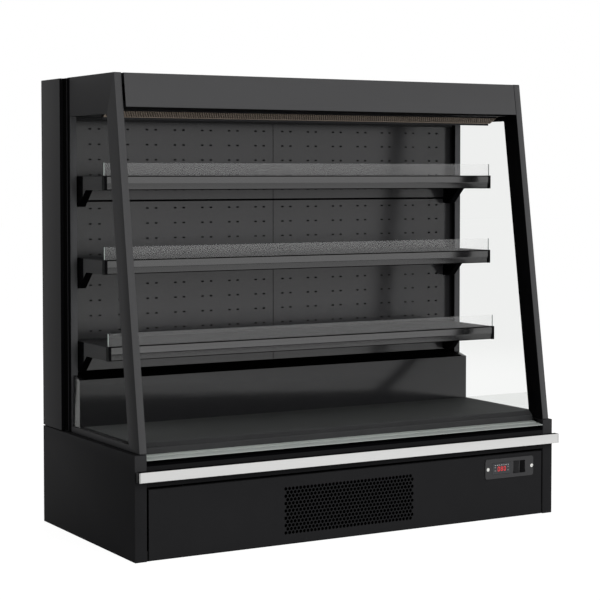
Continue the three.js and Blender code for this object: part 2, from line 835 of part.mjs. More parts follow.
/** One folded sheet: top return, raked face, nose, lamp channel, soffit and rear flange. */
function canopyFront() {
  const t = panelSheet;
  const face = t / Math.cos(rake);
  const top = canopyTopZ;
  const foot = canopyFootZ;
  const nose = canopyY(foot) + canopyNose;
  const roofEdge = rakeY(bodyHeight) + canopyTopReturn;
  const flange = soffitZ + soffitFlange;
  return alongX(outline([
    [canopyY(foot), foot], [nose, foot], [nose, channelTopZ - t],
    [channelRearY - t, channelTopZ - t], [channelRearY - t, soffitZ], [soffitRearY, soffitZ],
    [soffitRearY, flange], [soffitRearY - t, flange], [soffitRearY - t, soffitZ + t],
    [channelRearY, soffitZ + t], [channelRearY, channelTopZ],
    [canopyY(channelTopZ) + face, channelTopZ], [canopyY(top - t) + face, top - t],
    [roofEdge, top - t], [roofEdge, top], [canopyY(top), top],
  ]), -canopyX, canopyX);
}

/** Strip of flow-straightening cells that blows the cold air curtain down the open front. */
function diffuser() {
  const cells = [];
  const cellLength = (2 * insideX - cellWall) / cellsPerRow;
  const cellHeight = (diffuserWidth - cellWall) / cellRows;
  for (let row = 0; row < cellRows; row += 1) {
    const y = cellWall + row * cellHeight;
    for (const cx of spread(cellsPerRow, cellLength)) {
      cells.push(rectangle(
        cx - (cellLength - cellWall) / 2, cx + (cellLength - cellWall) / 2,
        y, y + cellHeight - cellWall,
      ));
    }
  }
  const strip = rectangle(-insideX, insideX, 0, diffuserWidth);
  return punched(alongZ, strip, cells, 0, diffuserThickness);
}

const tilt = THREE.MathUtils.degToRad(diffuserTilt);
const diffuserRearY = diffuserFrontY + diffuserWidth * Math.cos(tilt)
  + diffuserThickness * Math.sin(tilt);

/** Ceiling over the top shelf, turned down at the diffuser and into a cornice at the panels. */
function canopyCeiling() {
  const y0 = diffuserRearY + seat;
  const y1 = panelY - seat;
  const z = ceilingHeight;
  const profile = outline([
    [y0, corniceFoot], [y0 + sheet, corniceFoot], [y0 + sheet, z - sheet],
    [y1 - ceilingFlange, z - sheet], [y1 - ceilingFlange, corniceFoot], [y1, corniceFoot],
    [y1, z], [y0, z],
  ]);
  return alongX(profile, -insideX, insideX);
}

add('canopy_front', canopyFront(), canopyPaint);
const honeycomb = add('honeycomb_diffuser', diffuser(), finish(0x8d8078, 0.6));
honeycomb.rotation.x = -tilt;
honeycomb.position.set(0, diffuserFrontY, soffitZ);
add('canopy_ceiling', canopyCeiling(), innerPaint);
const lampY = (canopyY(canopyFootZ) + channelRearY) / 2;
add('lamp', block(
  -lampLength / 2, lampLength / 2, lampY - lampDepth / 2, lampY + lampDepth / 2,
  channelTopZ - panelSheet - seat - lampHeight, channelTopZ - panelSheet - seat,
), opal);

// ---------------------------------------------------------------- shelves
/** Tray turned down at the front and rear, with two pressed ribs between its brackets. */
function shelfTray(frontEdge) {
  const rear = panelY - seat;
  const t = sheet;
  const ribs = [1, 2].map((k) => frontEdge + (rear - frontEdge) * (k / 3));
  const under = ribs.flatMap((y) => [
    [y - ribWidth / 2, -t], [y - ribWidth / 4, -ribDepth],
    [y + ribWidth / 4, -ribDepth], [y + ribWidth / 2, -t],
  ]);
  const formed = outline([
    [frontEdge, 0], [frontEdge, -shelfRim], [frontEdge + t, -shelfRim], [frontEdge + t, -t],
    ...under, [rear - t, -t], [rear - t, -shelfRim], [rear, -shelfRim], [rear, 0],
  ]);
  const between = bracketInnerX - seat;
  return join([
    block(-shelfEndX, shelfEndX, frontEdge, rear, -t, 0), alongX(formed, -between, between),
  ]);
}

/** Bull-nosed ticket rail: a bowed face, a groove at the top for the upstand, a flat back. */
function ticketRail(frontY0) {
  const face = new THREE.Shape();
  const back = frontY0 + railBulge + railBack + upstandSetback;
  const grooveFront = frontY0 + upstandSetback;
  const grooveRear = grooveFront + upstandThickness + 2 * seat;
  face.moveTo(frontY0 + railBulge, -railHeight);
  face.quadraticCurveTo(frontY0 - railBow, -railHeight / 2, frontY0 + railSheet, 0);
  face.lineTo(grooveFront, 0);
  face.lineTo(grooveFront, -railGroove);
  face.lineTo(grooveRear, -railGroove);
  face.lineTo(grooveRear, 0);
  face.lineTo(back, 0);
  face.lineTo(back, -railHeight);
  face.closePath();
  return face;
}

const bracketRear = panelY - seat;

/** Bracket seen from the side: a level arm and a deep heel at the wall. */
function bracketOutline(frontEdge, inset, topExtra) {
  const top = -sheet - seat + topExtra;
  const rear = bracketRear - inset;
  const drop = heelDepth - armDepth;
  const slopeInset = inset * (Math.hypot(heelSlope, drop) - heelSlope) / drop;
  const heelFront = bracketRear - heelLength + slopeInset;
  return [
    [frontEdge + inset, top], [frontEdge + inset, -armDepth + inset],
    [heelFront - heelSlope, -armDepth + inset], [heelFront, -heelDepth + inset],
    [rear, -heelDepth + inset], [rear, top],
  ];
}

/** Folded channel, open at the top, with two hooks that drop behind the slotted panel. */
function shelfBracket(sign, frontEdge) {
  const body = sidePrism(
    sign, outline(bracketOutline(frontEdge, 0, 0)), bracketInnerX, bracketOuterX,
  );
  const hollow = sidePrism(
    sign, outline(bracketOutline(frontEdge, bracketSheet, bite)),
    bracketInnerX + bracketSheet, bracketOuterX - bracketSheet,
  );
  const root = bracketRear - bite;
  const behind = panelBackY + seat;
  const hooks = hookHeights.map((z) => {
    const foot = z - hookHeight / 2;
    const top = z + hookHeight / 2 - hookEase;
    return sidePrism(sign, outline([
      [root, foot], [behind, foot], [behind, foot - hookDrop],
      [behind + hookTongue, foot - hookDrop], [behind + hookTongue, top], [root, top],
    ]), bracketInnerX, bracketInnerX + hookThickness);
  });
  return join([body, ...hooks], [hollow]);
}

['lower', 'middle', 'upper'].forEach((level, i) => {
  const shelf = new THREE.Group();
  shelf.position.z = shelfHeights[i];
  cabinet.add(shelf);
  const railFront = panelY - shelfReaches[i];
  const trayFront = railFront + railBulge + railBack + upstandSetback + seat;
  add(`${level}_shelf`, shelfTray(trayFront), innerPaint, shelf);
  add(
    `${level}_ticket_rail`, alongX(ticketRail(railFront), -shelfEndX, shelfEndX, 10),
    canopyPaint, shelf,
  );
  const upstandY = railFront + upstandSetback + seat;
  add(`${level}_shelf_glass`, block(
    -shelfEndX, shelfEndX, upstandY, upstandY + upstandThickness,
    -railGroove + seat, upstandHeight,
  ), clearGlass, shelf);
  for (const [side, sign] of sides) {
    add(
      `${level}_bracket_${side}`, shelfBracket(sign, trayFront + sheet + seat), bodyPaint, shelf,
    );
  }
});

// ---------------------------------------------------------------- control panel
const bezelFaceY = frontY - bezelProud;

/** Rounded plate with the display's window and two rocker wells behind it. */
function controlBezel() {
  const plate = rectangle(
    bezelX0, bezelX1, bezelCentreZ - bezelHeight / 2, bezelCentreZ + bezelHeight / 2, bezelCorner,
  );
  plate.holes.push(rectangle(
    controllerX0 - seat, controllerX1 + seat,
    bezelCentreZ - controllerHeight / 2 - seat, bezelCentreZ + controllerHeight / 2 + seat,
  ));
  const housing = block(
    switchX0 - moduleWall, switchX1 + moduleWall,
    bezelFaceY + bite, bezelFaceY + rockerWellDepth + moduleWall,
    bezelCentreZ - wellHalfHeight - moduleWall, bezelCentreZ + wellHalfHeight + moduleWall,
  );
  const wells = [-1, 1].map((sign) => {
    const cx = switchCentreX + sign * (wellWidth + rockerBridge) / 2;
    return block(
      cx - wellWidth / 2, cx + wellWidth / 2, bezelFaceY - bite, bezelFaceY + rockerWellDepth,
      bezelCentreZ - wellHalfHeight, bezelCentreZ + wellHalfHeight,
    );
  });
  return join([alongY(plate, bezelFaceY, frontY - seat, 5), housing], wells);
}

const keyPlaces = [-1, 1].flatMap((sx) => [1, -1].map((sz) => [
  controllerCentreX + sx * keySpread / 2, bezelCentreZ + sz * keyPitch / 2 - keyDrop,
]));

function controller() {
  const body = block(
    controllerX0, controllerX1, bezelFaceY, bezelFaceY + controllerDepth,
    bezelCentreZ - controllerHeight / 2, bezelCentreZ + controllerHeight / 2,
  );
  const pockets = keyPlaces.map(([x, z]) => block(
    x - keyWidth / 2 - seat, x + keyWidth / 2 + seat, bezelFaceY - bite,
    bezelFaceY - keyProud + keyDepth + keyTravel + seat,
    z - keyHeight / 2 - seat, z + keyHeight / 2 + seat,
  ));
  return join([body], pockets);
}

/** Rocker in section: a shallow V at the front and a rounded back that turns in its well. */
function rocker() {
  const half = rockerHeight / 2;
  const turn = rockerBackHeight / 2;
  const shape = new THREE.Shape();
  shape.moveTo(-rockerProud, -half);
  shape.lineTo(-rockerProud + rockerDish, 0);
  shape.lineTo(-rockerProud, half);
  shape.lineTo(rockerShoulder, half);
  shape.quadraticCurveTo(rockerDepth, turn, rockerDepth, 0);
  shape.quadraticCurveTo(rockerDepth, -turn, rockerShoulder, -half);
  shape.closePath();
  return alongX(shape, -rockerWidth / 2, rockerWidth / 2, 4);
}

add('control_bezel', controlBezel(), blackPlastic);
add('controller', controller(), blackPlastic);
keyPlaces.forEach(([x, z], i) => {
  const key = block(
    -keyWidth / 2, keyWidth / 2, -keyProud, keyDepth - keyProud, -keyHeight / 2, keyHeight / 2,
  );
  add(`key_${i + 1}`, key, opal).position.set(x, bezelFaceY, z);
});
[['main_switch', -1], ['lamp_switch', 1]].forEach(([name, sign]) => {
  const mesh = add(name, rocker(), blackPlastic);
  mesh.position.set(
    switchCentreX + sign * (wellWidth + rockerBridge) / 2, bezelFaceY + rockerShoulder,
    bezelCentreZ,
  );
  mesh.rotation.x = -THREE.MathUtils.degToRad(rockerTilt);
});

// ---------------------------------------------------------------- cooling plant
/** Axial fan on the Y axis: a hub with pitched blades. */
function fan(radius) {
  const hub = radius * fanHubShare;
  const half = fanWidth / 2;
  const body = new THREE.LatheGeometry([
    new THREE.Vector2(0, -half), new THREE.Vector2(hub, -half),
    new THREE.Vector2(hub, half), new THREE.Vector2(0, half),
  ], 16);
  const root = hub * bladeRootShare;
  const blades = Array.from({ length: fanBlades }, (_, i) => {
    const blade = new THREE.BoxGeometry(radius - root, bladeThickness, radius * bladeChordShare);
    blade.rotateX(THREE.MathUtils.degToRad(bladeTwist));
    blade.translate((radius + root) / 2, 0, 0);
    return blade.rotateY(i * Math.PI * 2 / fanBlades);
  });
  const round = new THREE.CylinderGeometry(radius, radius, fanWidth, 32);
  const solid = toSolid(join([body, ...blades])).intersect(toSolid(round));
  return toGeometry(solid);
}

/** Motor behind a fan on three arms that reach the rim of the fan's opening. */
function motorMount(radius, plateBack, fanMidY) {
  const hub = radius * fanHubShare;
  const motorFront = fanMidY + fanWidth / 2 + seat;
  const motor = new THREE.CylinderGeometry(hub, hub, motorDepth, 16);
  motor.translate(0, motorFront + motorDepth / 2, 0);
  const y0 = motorFront + armThickness;
  const y1 = y0 + armThickness;
  const reach = radius + fanTipGap + fanRim - bite;
  const side = armWidth / 2;
  const arms = [0, 1, 2].flatMap((k) => {
    const angle = Math.PI / 2 + k * Math.PI * 2 / 3;
    const bar = block(0, reach, y0, y1, -side, side).rotateY(-angle);
    const leg = block(reach - armLeg, reach, plateBack - bite, y1, -side, side).rotateY(-angle);
    return [bar, leg];
  });
  return [motor, ...arms];
}

/** Fins in plan view as a comb, open to the air that passes along Y. */
function finComb(length, depth, count) {
  const pitch = length / (count - finGap);
  const points = [[-length / 2, 0]];
  const web = depth * webShare;
  for (let i = 0; i < count; i += 1) {
    const x = -length / 2 + i * pitch;
    points.push([x, depth], [x + pitch * (1 - finGap), depth]);
    if (i < count - 1) points.push([x + pitch * (1 - finGap), web], [x + pitch, web]);
  }
  points.push([length / 2, 0]);
  return outline(points.reverse());
}

/** Welded steel pot on a foot plate. */
function compressor() {
  const z0 = panelSheet + seat;
  const seam = z0 + compressorSeamHeight;
  const radius = compressorRadius;
  const profile = [
    [0, z0 + compressorLift], [radius, z0 + compressorLift], [radius, seam],
    [radius + compressorSeamProud, seam],
    [radius + compressorSeamProud, seam + compressorSeamWidth],
    [radius, seam + compressorSeamWidth],
    [radius - compressorShoulderIn, z0 + compressorShoulder],
    [compressorCrownRadius, z0 + compressorHeight], [0, z0 + compressorHeight],
  ].map(([x, y]) => new THREE.Vector2(x, y));
  const pot = new THREE.LatheGeometry(profile, 18).rotateX(Math.PI / 2);
  const reach = radius + compressorFootReach;
  const plate = block(
    -reach, reach, -compressorFootDepth / 2, compressorFootDepth / 2, z0, z0 + compressorFoot,
  );
  return join([pot, plate]).translate(compressorX, compressorY, 0);
}

const condenserY = frontY + panSetback + panelSheet + condenserSetback;
const condenserZ0 = panelSheet + seat;
const condenserMidZ = condenserZ0 + condenserHeight / 2;
const condenserPlateY = condenserY + condenserDepth;
const condenserFanY = condenserPlateY + panelSheet + fanTipGap + fanWidth / 2;

function condenserCoil() {
  const comb = alongZ(
    finComb(condenserLength, condenserDepth, condenserFins), condenserZ0,
    condenserZ0 + condenserHeight,
  ).translate(0, condenserY, 0);
  const half = condenserLength / 2;
  const shroud = rectangle(-half, half, condenserZ0, condenserZ0 + condenserHeight);
  const throat = new THREE.Path();
  throat.absarc(0, condenserMidZ, condenserFanRadius + fanTipGap, 0, Math.PI * 2, true);
  shroud.holes.push(throat);
  const plateBack = condenserPlateY + panelSheet;
  const plate = alongY(shroud, condenserPlateY - bite, plateBack, 10);
  const mount = motorMount(condenserFanRadius, plateBack, condenserFanY)
    .map((part) => part.translate(0, 0, condenserMidZ));
  return join([comb, plate, ...mount]).translate(ventCentreX, 0, 0);
}

const coilZ0 = tubZ + tubFloor + seat;
const coilZ1 = deckHeight - sheet - evaporatorClear;
const coilMidZ = (coilZ0 + coilZ1) / 2;
const evaporatorFanRadius = (coilZ1 - coilZ0) / 2 - fanTipGap - fanRim;
const coilY0 = evaporatorY - evaporatorDepth / 2;
const fanPlateY = coilY0 - evaporatorFanPlate;
const fanPlateBack = fanPlateY + panelSheet;
const evaporatorFanY = fanPlateBack + fanTipGap + fanWidth / 2;

function evaporatorCoil() {
  const comb = alongZ(
    finComb(evaporatorLength, evaporatorDepth, evaporatorFins), coilZ0, coilZ1,
  ).translate(0, coilY0, 0);
  const half = evaporatorLength / 2;
  const plate = rectangle(-half, half, coilZ0, coilZ1);
  for (const sign of [-1, 1]) {
    const throat = new THREE.Path();
    const radius = evaporatorFanRadius + fanTipGap;
    throat.absarc(sign * evaporatorFanX, coilMidZ, radius, 0, Math.PI * 2, true);
    plate.holes.push(throat);
  }
  const cheeks = [-1, 1].map((sign) => sideBlock(
    sign, half - coilCheek, half, fanPlateY, coilY0 + evaporatorDepth * webShare, coilZ0, coilZ1,
  ));
  const mounts = [-1, 1].flatMap((sign) => (
    motorMount(evaporatorFanRadius, fanPlateBack, evaporatorFanY)
      .map((part) => part.translate(sign * evaporatorFanX, 0, coilMidZ))
  ));
  return join([comb, alongY(plate, fanPlateY, fanPlateBack, 8), ...cheeks, ...mounts]);
}

add('compressor', compressor(), castBlack);
add('condenser_coil', condenserCoil(), finAluminium);
add('condenser_fan', fan(condenserFanRadius), castBlack)
  .position.set(ventCentreX, condenserFanY, condenserMidZ);
add('evaporator_coil', evaporatorCoil(), finAluminium);
for (const [side, sign] of sides) {
  add(`evaporator_fan_${side}`, fan(evaporatorFanRadius), castBlack)
    .position.set(sign * evaporatorFanX, evaporatorFanY, coilMidZ);
}

// The bumper makes the footprint deeper at the front, so the body moves back by half of that.
cabinet.position.y = bumperReach / 2;
const group = new THREE.Group();
group.add(cabinet);

export default group;
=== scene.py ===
# %% [markdown]
# # An open chilled display cabinet
# A cabinet like this is folded and powder-coated steel sheet round a foamed body, with glass
# ends, three shelves and a wall of small air slots behind them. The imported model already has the
# right sizes, so it is loaded as a fixed frame and only what it leaves plain is made here: small
# holes, rounded folds, the rails' section, the display and every finish.

# %% Load the frame
import math

import bmesh
import bpy
import numpy as np
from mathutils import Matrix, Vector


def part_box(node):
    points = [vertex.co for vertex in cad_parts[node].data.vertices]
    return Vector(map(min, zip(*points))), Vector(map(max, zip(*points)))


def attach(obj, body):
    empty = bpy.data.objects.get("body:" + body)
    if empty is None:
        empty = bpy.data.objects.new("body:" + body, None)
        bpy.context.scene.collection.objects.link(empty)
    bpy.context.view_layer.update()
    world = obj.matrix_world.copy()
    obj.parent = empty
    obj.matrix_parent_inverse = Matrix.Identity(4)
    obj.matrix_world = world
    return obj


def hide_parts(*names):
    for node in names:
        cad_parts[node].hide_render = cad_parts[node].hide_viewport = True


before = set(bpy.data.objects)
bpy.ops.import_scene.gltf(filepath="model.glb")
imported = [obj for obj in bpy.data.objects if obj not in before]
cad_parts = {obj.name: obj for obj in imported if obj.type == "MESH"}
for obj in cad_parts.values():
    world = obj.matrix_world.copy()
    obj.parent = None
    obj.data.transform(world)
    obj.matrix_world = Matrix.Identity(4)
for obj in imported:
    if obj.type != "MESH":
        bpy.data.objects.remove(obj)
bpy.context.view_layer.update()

# %% [markdown]
# ## Where the picture is taken from
# The camera stands to the left of the cabinet, 1.1 m above the floor, and looks at it through a
# long lens. It is pointed slightly down, and a small downward shift does the rest, so upright
# edges stay nearly upright as a product photographer would have them.

# %% Camera
MM = 0.001
TILT_DOWN, TURN_RIGHT = 0.04527, 0.52317


def add_object(name, data):
    """A new object that holds data, put into the scene."""
    made = bpy.data.objects.new(name, data)
    bpy.context.scene.collection.objects.link(made)
    return made


view = bpy.data.cameras.new("shopper_view")
view.sensor_width = 36
view.lens = 103.57
view.shift_y = -0.08
camera = add_object("shopper_view", view)
camera.location = (-2.78529, -4.80558, 1.11346)
camera.rotation_euler = (math.pi / 2 - TILT_DOWN, 0, -TURN_RIGHT)
bpy.context.scene.camera = camera
bpy.context.scene.view_settings.view_transform = "Standard"
print("camera at", tuple(camera.location), "lens", view.lens)

# %% [markdown]
# ## Colours and nodes
# A paint chip is read as sRGB, but light adds up in linear values, so one function turns the
# first into the second. One more function adds a shader node with its settings and its inputs.

# %% Helpers for materials
def linear(chip):
    """sRGB hex to linear: c / 12.92 up to 0.04045, above that ((c + 0.055) / 1.055) ** 2.4."""
    c = np.array([int(chip[i:i + 2], 16) for i in (1, 3, 5)]) / 255
    return (*np.where(c <= 0.04045, c / 12.92, ((c + 0.055) / 1.055) ** 2.4).tolist(), 1.0)


def add_node(tree, kind, inputs, **settings):
    """Adds one node, sets its properties, and sets or links each input named in inputs."""
    made = tree.nodes.new(kind)
    for name, value in settings.items():
        setattr(made, name, value)
    for name, value in inputs.items():
        if isinstance(value, bpy.types.NodeSocket):
            tree.links.new(value, made.inputs[name])
        else:
            made.inputs[name].default_value = value
    return made


def new_finish(name):
    """An empty material with its node tree, its output, and the piece's own coordinates."""
    finish = bpy.data.materials.new(name)
    finish.use_nodes = True
    tree = finish.node_tree
    tree.nodes.clear()
    output = tree.nodes.new("ShaderNodeOutputMaterial")
    place = tree.nodes.new("ShaderNodeTexCoord").outputs["Object"]
    return finish, tree, output, place


# %% [markdown]
# ## Floor, sky and lamps
# A shop catalogue shows such a cabinet on white. The floor and the sky are white to the camera
# and in reflections only. What lights the cabinet is a soft grey sky and three large soft lamps,
# kept at a level at which a colour comes out about as it is written.

# %% Studio
def white_to_the_eye(tree):
    """1 for camera, glossy and transmission rays, 0 for the rays that carry light."""
    ray = tree.nodes.new("ShaderNodeLightPath")
    seen = add_node(tree, "ShaderNodeMath", {0: ray.outputs["Is Camera Ray"],
                                             1: ray.outputs["Is Glossy Ray"]}, operation="MAXIMUM")
    return add_node(tree, "ShaderNodeMath", {0: seen.outputs[0],
                                             1: ray.outputs["Is Transmission Ray"]},
                    operation="MAXIMUM").outputs[0]


sky = bpy.data.worlds.new("soft_sky")
bpy.context.scene.world = sky
sky.use_nodes = True
sky_tree = sky.node_tree
sky_tree.nodes.clear()
dim = add_node(sky_tree, "ShaderNodeBackground", {"Color": (1, 1, 1, 1), "Strength": 0.35})
bright = add_node(sky_tree, "ShaderNodeBackground", {"Color": (1, 1, 1, 1), "Strength": 1.0})
both = add_node(sky_tree, "ShaderNodeMixShader", {0: white_to_the_eye(sky_tree),
                                                  1: dim.outputs[0], 2: bright.outputs[0]})
add_node(sky_tree, "ShaderNodeOutputWorld", {"Surface": both.outputs[0]})

# A studio floor is painted board: pale, without gloss, and bright enough to lose its horizon.
floor_finish, tree, output, _ = new_finish("matt_white_studio_board")
board = add_node(tree, "ShaderNodeBsdfDiffuse", {"Color": linear("#bcbcbc")})
shaded = add_node(tree, "ShaderNodeBsdfDiffuse", {"Color": linear("#6e6e6e")})
glow = add_node(tree, "ShaderNodeEmission", {"Color": (1, 1, 1, 1), "Strength": 0.945})
lit = add_node(tree, "ShaderNodeAddShader", {0: shaded.outputs[0], 1: glow.outputs[0]})
mix = add_node(tree, "ShaderNodeMixShader", {0: white_to_the_eye(tree),
                                             1: board.outputs[0], 2: lit.outputs[0]})
tree.links.new(mix.outputs[0], output.inputs["Surface"])

floor_mesh = bpy.data.meshes.new("studio_floor")
FLOOR_HALF = 30
corners = [(x * FLOOR_HALF, y * FLOOR_HALF, 0) for x, y in ((-1, -1), (1, -1), (1, 1), (-1, 1))]
floor_mesh.from_pydata(corners, [], [(0, 1, 2, 3)])
floor_mesh.materials.append(floor_finish)
studio_floor = add_object("studio_floor", floor_mesh)


def soft_lamp(name, place, target, size, power):
    """A square softbox at place that faces target. Gloss and glass show the room, not the lamp."""
    data = bpy.data.lights.new(name, "AREA")
    data.shape = "SQUARE"
    data.size = size
    data.energy = power
    lamp = add_object(name, data)
    lamp.location = place
    lamp.visible_glossy = lamp.visible_transmission = False
    aim = np.array(target, float) - np.array(place, float)
    flat = math.hypot(aim[0], aim[1])
    lamp.rotation_euler = (math.atan2(flat, -aim[2]), 0, math.atan2(-aim[0], aim[1]))


middle = (0, 0, 0.75)
soft_lamp("key_softbox", (0.7, -5.0, 1.9), middle, 3.2, 235)
soft_lamp("left_softbox", (-4.8, -1.0, 2.6), middle, 2.6, 32)
soft_lamp("rear_softbox", (1.8, 4.2, 2.6), middle, 2.6, 80)
print("studio: floor, sky and 3 softboxes")

# %% [markdown]
# ## Powder coat
# Nearly all sheet here is powder-coated: dry paint, sprayed on and melted in an oven. It flows
# into a faint orange peel about 2 mm across, its gloss is satin to matt, and its shade drifts a
# little over a large sheet. The peel is a noise in the bump, and two near shades are mixed by a
# slow noise, so a big flat face doesn't look printed.

# %% Powder coats
def powder_coat(name, chip, deeper, roughness, sheen, peel_mm=2.2, peel=0.05):
    """Melted polyester powder on steel: two near shades, an orange peel, satin gloss."""
    finish, tree, output, place = new_finish(name)
    drift = add_node(tree, "ShaderNodeTexNoise", {"Vector": place, "Scale": 1 / (160 * MM),
                                                  "Detail": 3.0, "Roughness": 0.55})
    shade = add_node(tree, "ShaderNodeMix", {"Factor": drift.outputs["Fac"], "A": linear(chip),
                                             "B": linear(deeper)}, data_type="RGBA")
    skin = add_node(tree, "ShaderNodeTexNoise", {"Vector": place, "Scale": 1 / (peel_mm * MM),
                                                 "Detail": 2.0})
    grit = add_node(tree, "ShaderNodeTexNoise", {"Vector": place, "Scale": 1 / (0.5 * MM),
                                                 "Detail": 1.0})
    relief = add_node(tree, "ShaderNodeMath", {0: skin.outputs["Fac"], 1: grit.outputs["Fac"]},
                      operation="ADD")
    bump = add_node(tree, "ShaderNodeBump", {"Height": relief.outputs[0], "Strength": peel,
                                             "Distance": 0.06 * MM})
    gloss = add_node(tree, "ShaderNodeMapRange", {"Value": skin.outputs["Fac"],
                                                  "To Min": roughness - 0.04,
                                                  "To Max": roughness + 0.05})
    coat = add_node(tree, "ShaderNodeBsdfPrincipled", {
        "Base Color": shade.outputs["Result"], "Roughness": gloss.outputs[0],
        "Normal": bump.outputs[0], "Specular IOR Level": sheen, "IOR": 1.5})
    tree.links.new(coat.outputs[0], output.inputs["Surface"])
    return finish


# The outer body is satin black. Its gloss is low, so the white floor hardly shows in it.
black_coat = powder_coat("satin_black_powder_coat", "#232324", "#1f1f20", 0.50, 0.006)
# The channel behind the bumper and the lip under the canopy have their own, more matt shade.
fascia_coat = powder_coat("matt_black_powder_coat", "#1c1c1d", "#19191a", 0.60, 0.006)
# Painted shade: the brackets and faces that no light reaches are painted near black, without
# glint.
painted_shade_coat = powder_coat("painted_shade_black_coat", "#060607", "#040405", 0.65, 0.004)
# The rear body's side catches the left softbox and reads a shade greyer than the base.
body_coat = powder_coat("satin_graphite_powder_coat", "#2c2c2d", "#272728", 0.48, 0.03)
# End frames: the same family, one step lighter, with softly rounded edges that shine.
frame_coat = powder_coat("satin_anthracite_powder_coat", "#313132", "#2c2c2d", 0.44, 0.02)
# Inside, nearly black paint under a satin gloss: most of the grey that the eye sees is the
# reflected room, and the end frame shows in the wall as a soft dark band.
inner_coat = powder_coat("satin_lined_powder_coat", "#262627", "#232324", 0.16, 0.54, peel=0.02)
# The riser under the wall has it in a darker colour.
riser_coat = powder_coat("satin_riser_powder_coat", "#1a1a1b", "#171718", 0.16, 0.47, peel=0.02)
# Shelves and deck carry the goods, and are matt so that they show no scratches or glare.
shelf_coat = powder_coat("matt_shelf_powder_coat", "#2f2f30", "#2b2b2c", 0.62, 0.006)
deck_coat = powder_coat("matt_deck_powder_coat", "#494a4a", "#454646", 0.62, 0.012)
# The pierced strip before the deck and the outer faces of the brackets are matt as well.
strip_coat = powder_coat("matt_grey_powder_coat", "#373738", "#323233", 0.55, 0.05)
# The canopy's face and the end frames' front edges are the lightest of the dark sheet.
canopy_coat = powder_coat("satin_grey_powder_coat", "#303031", "#2d2d2e", 0.36, 0.45, peel=0.03)
# The sill's ledge is painted in the colour of aluminium, so it looks the same from all sides.
ledge_coat = powder_coat("matt_silver_powder_coat", "#a3a8a5", "#9ca19e", 0.60, 0.05)
# The rear stiles' reveals are a light satin grey and draw a thin line beside the wall.
reveal_coat = powder_coat("satin_light_grey_powder_coat", "#48484a", "#434344", 0.45, 0.05)
# Inside the plant and behind the slots the fins are painted near black, as painted shade for the
# dark behind the openings, so that none glints.
shade_black_fins = powder_coat("black_fins_painted_shade", "#020202", "#010101", 0.85, 0.0)
print("14 powder coats")

# %% [markdown]
# ## Plastics
# The ticket rails are extruded, so any flaw in the die leaves a line along their whole length:
# the bump varies across the rail and not along it. The bezel and small caps are moulded with an
# etched, leathery grain under half a millimetre. The lamp cover is opal and the keys are grey.

# %% Plastics and rubber
def moulded(name, chip, roughness, sheen, grain_mm=0.45, depth=0.10):
    """A moulded plastic, rubber or enamel with an etched grain: a cell pattern in the bump."""
    finish, tree, output, place = new_finish(name)
    cells = add_node(tree, "ShaderNodeTexVoronoi", {"Vector": place,
                                                    "Scale": 1 / (grain_mm * MM)})
    worn = add_node(tree, "ShaderNodeTexNoise", {"Vector": place, "Scale": 1 / (30 * MM)})
    gloss = add_node(tree, "ShaderNodeMapRange", {"Value": worn.outputs["Fac"],
                                                  "To Min": roughness - 0.06,
                                                  "To Max": roughness + 0.06})
    bump = add_node(tree, "ShaderNodeBump", {"Height": cells.outputs["Distance"],
                                             "Strength": depth, "Distance": 0.05 * MM})
    body = add_node(tree, "ShaderNodeBsdfPrincipled", {
        "Base Color": linear(chip), "Roughness": gloss.outputs[0], "Normal": bump.outputs[0],
        "Specular IOR Level": sheen, "IOR": 1.54})
    tree.links.new(body.outputs[0], output.inputs["Surface"])
    return finish


def extruded(name, chip, deeper, roughness, sheen):
    """Extruded PVC: fine die lines along X, from a noise that is stretched 300 times that way."""
    finish, tree, output, place = new_finish(name)
    along = add_node(tree, "ShaderNodeMapping", {"Vector": place,
                                                 "Scale": (1 / 0.9, 1 / 0.003, 1 / 0.003)})
    lines = add_node(tree, "ShaderNodeTexNoise", {"Vector": along.outputs[0], "Scale": 1.0,
                                                  "Detail": 3.0})
    shade = add_node(tree, "ShaderNodeMix", {"Factor": lines.outputs["Fac"], "A": linear(chip),
                                             "B": linear(deeper)}, data_type="RGBA")
    bump = add_node(tree, "ShaderNodeBump", {"Height": lines.outputs["Fac"], "Strength": 0.06,
                                             "Distance": 0.05 * MM})
    body = add_node(tree, "ShaderNodeBsdfPrincipled", {
        "Base Color": shade.outputs["Result"], "Roughness": roughness,
        "Normal": bump.outputs[0], "Specular IOR Level": sheen, "IOR": 1.6})
    tree.links.new(body.outputs[0], output.inputs["Surface"])
    return finish


# The rail is nearly black PVC under a clear ticket cover, so its grey is a mirrored room. Its
# lower half is a copy that reflects less: painted shade for the part that faces a little
# downwards, away from the light.
rail_plastic = extruded("covered_black_pvc", "#101011", "#0d0d0e", 0.17, 1.0)
rail_shaded_half = extruded("shaded_black_pvc", "#111112", "#0e0e0f", 0.24, 0.60)
strip_plastic = extruded("extruded_black_pvc", "#030303", "#020202", 0.62, 0.01)
# Black ABS for the caps, switches, fans and controller. The same black is painted shade behind the
# canopy's face and inside the duct.
black_abs_and_painted_shade = moulded("moulded_black_abs_and_painted_shade", "#070708", 0.50, 0.03)
bezel_plastic = moulded("moulded_grey_abs", "#363637", 0.46, 0.10)
opal_plastic = moulded("opal_polycarbonate", "#e6e6e0", 0.42, 0.5, 1.2, 0.03)
cell_plastic = moulded("thin_wall_honeycomb_polymer", "#857a6f", 0.70, 0.05, 0.8, 0.05)
cell_shade = moulded("unlit_honeycomb_polymer", "#2c2723", 0.75, 0.02, 0.8, 0.05)
button_plastic = moulded("moulded_grey_silicone", "#6c6c6e", 0.55, 0.10)
switch_plastic = moulded("moulded_charcoal_abs", "#19191a", 0.42, 0.08)
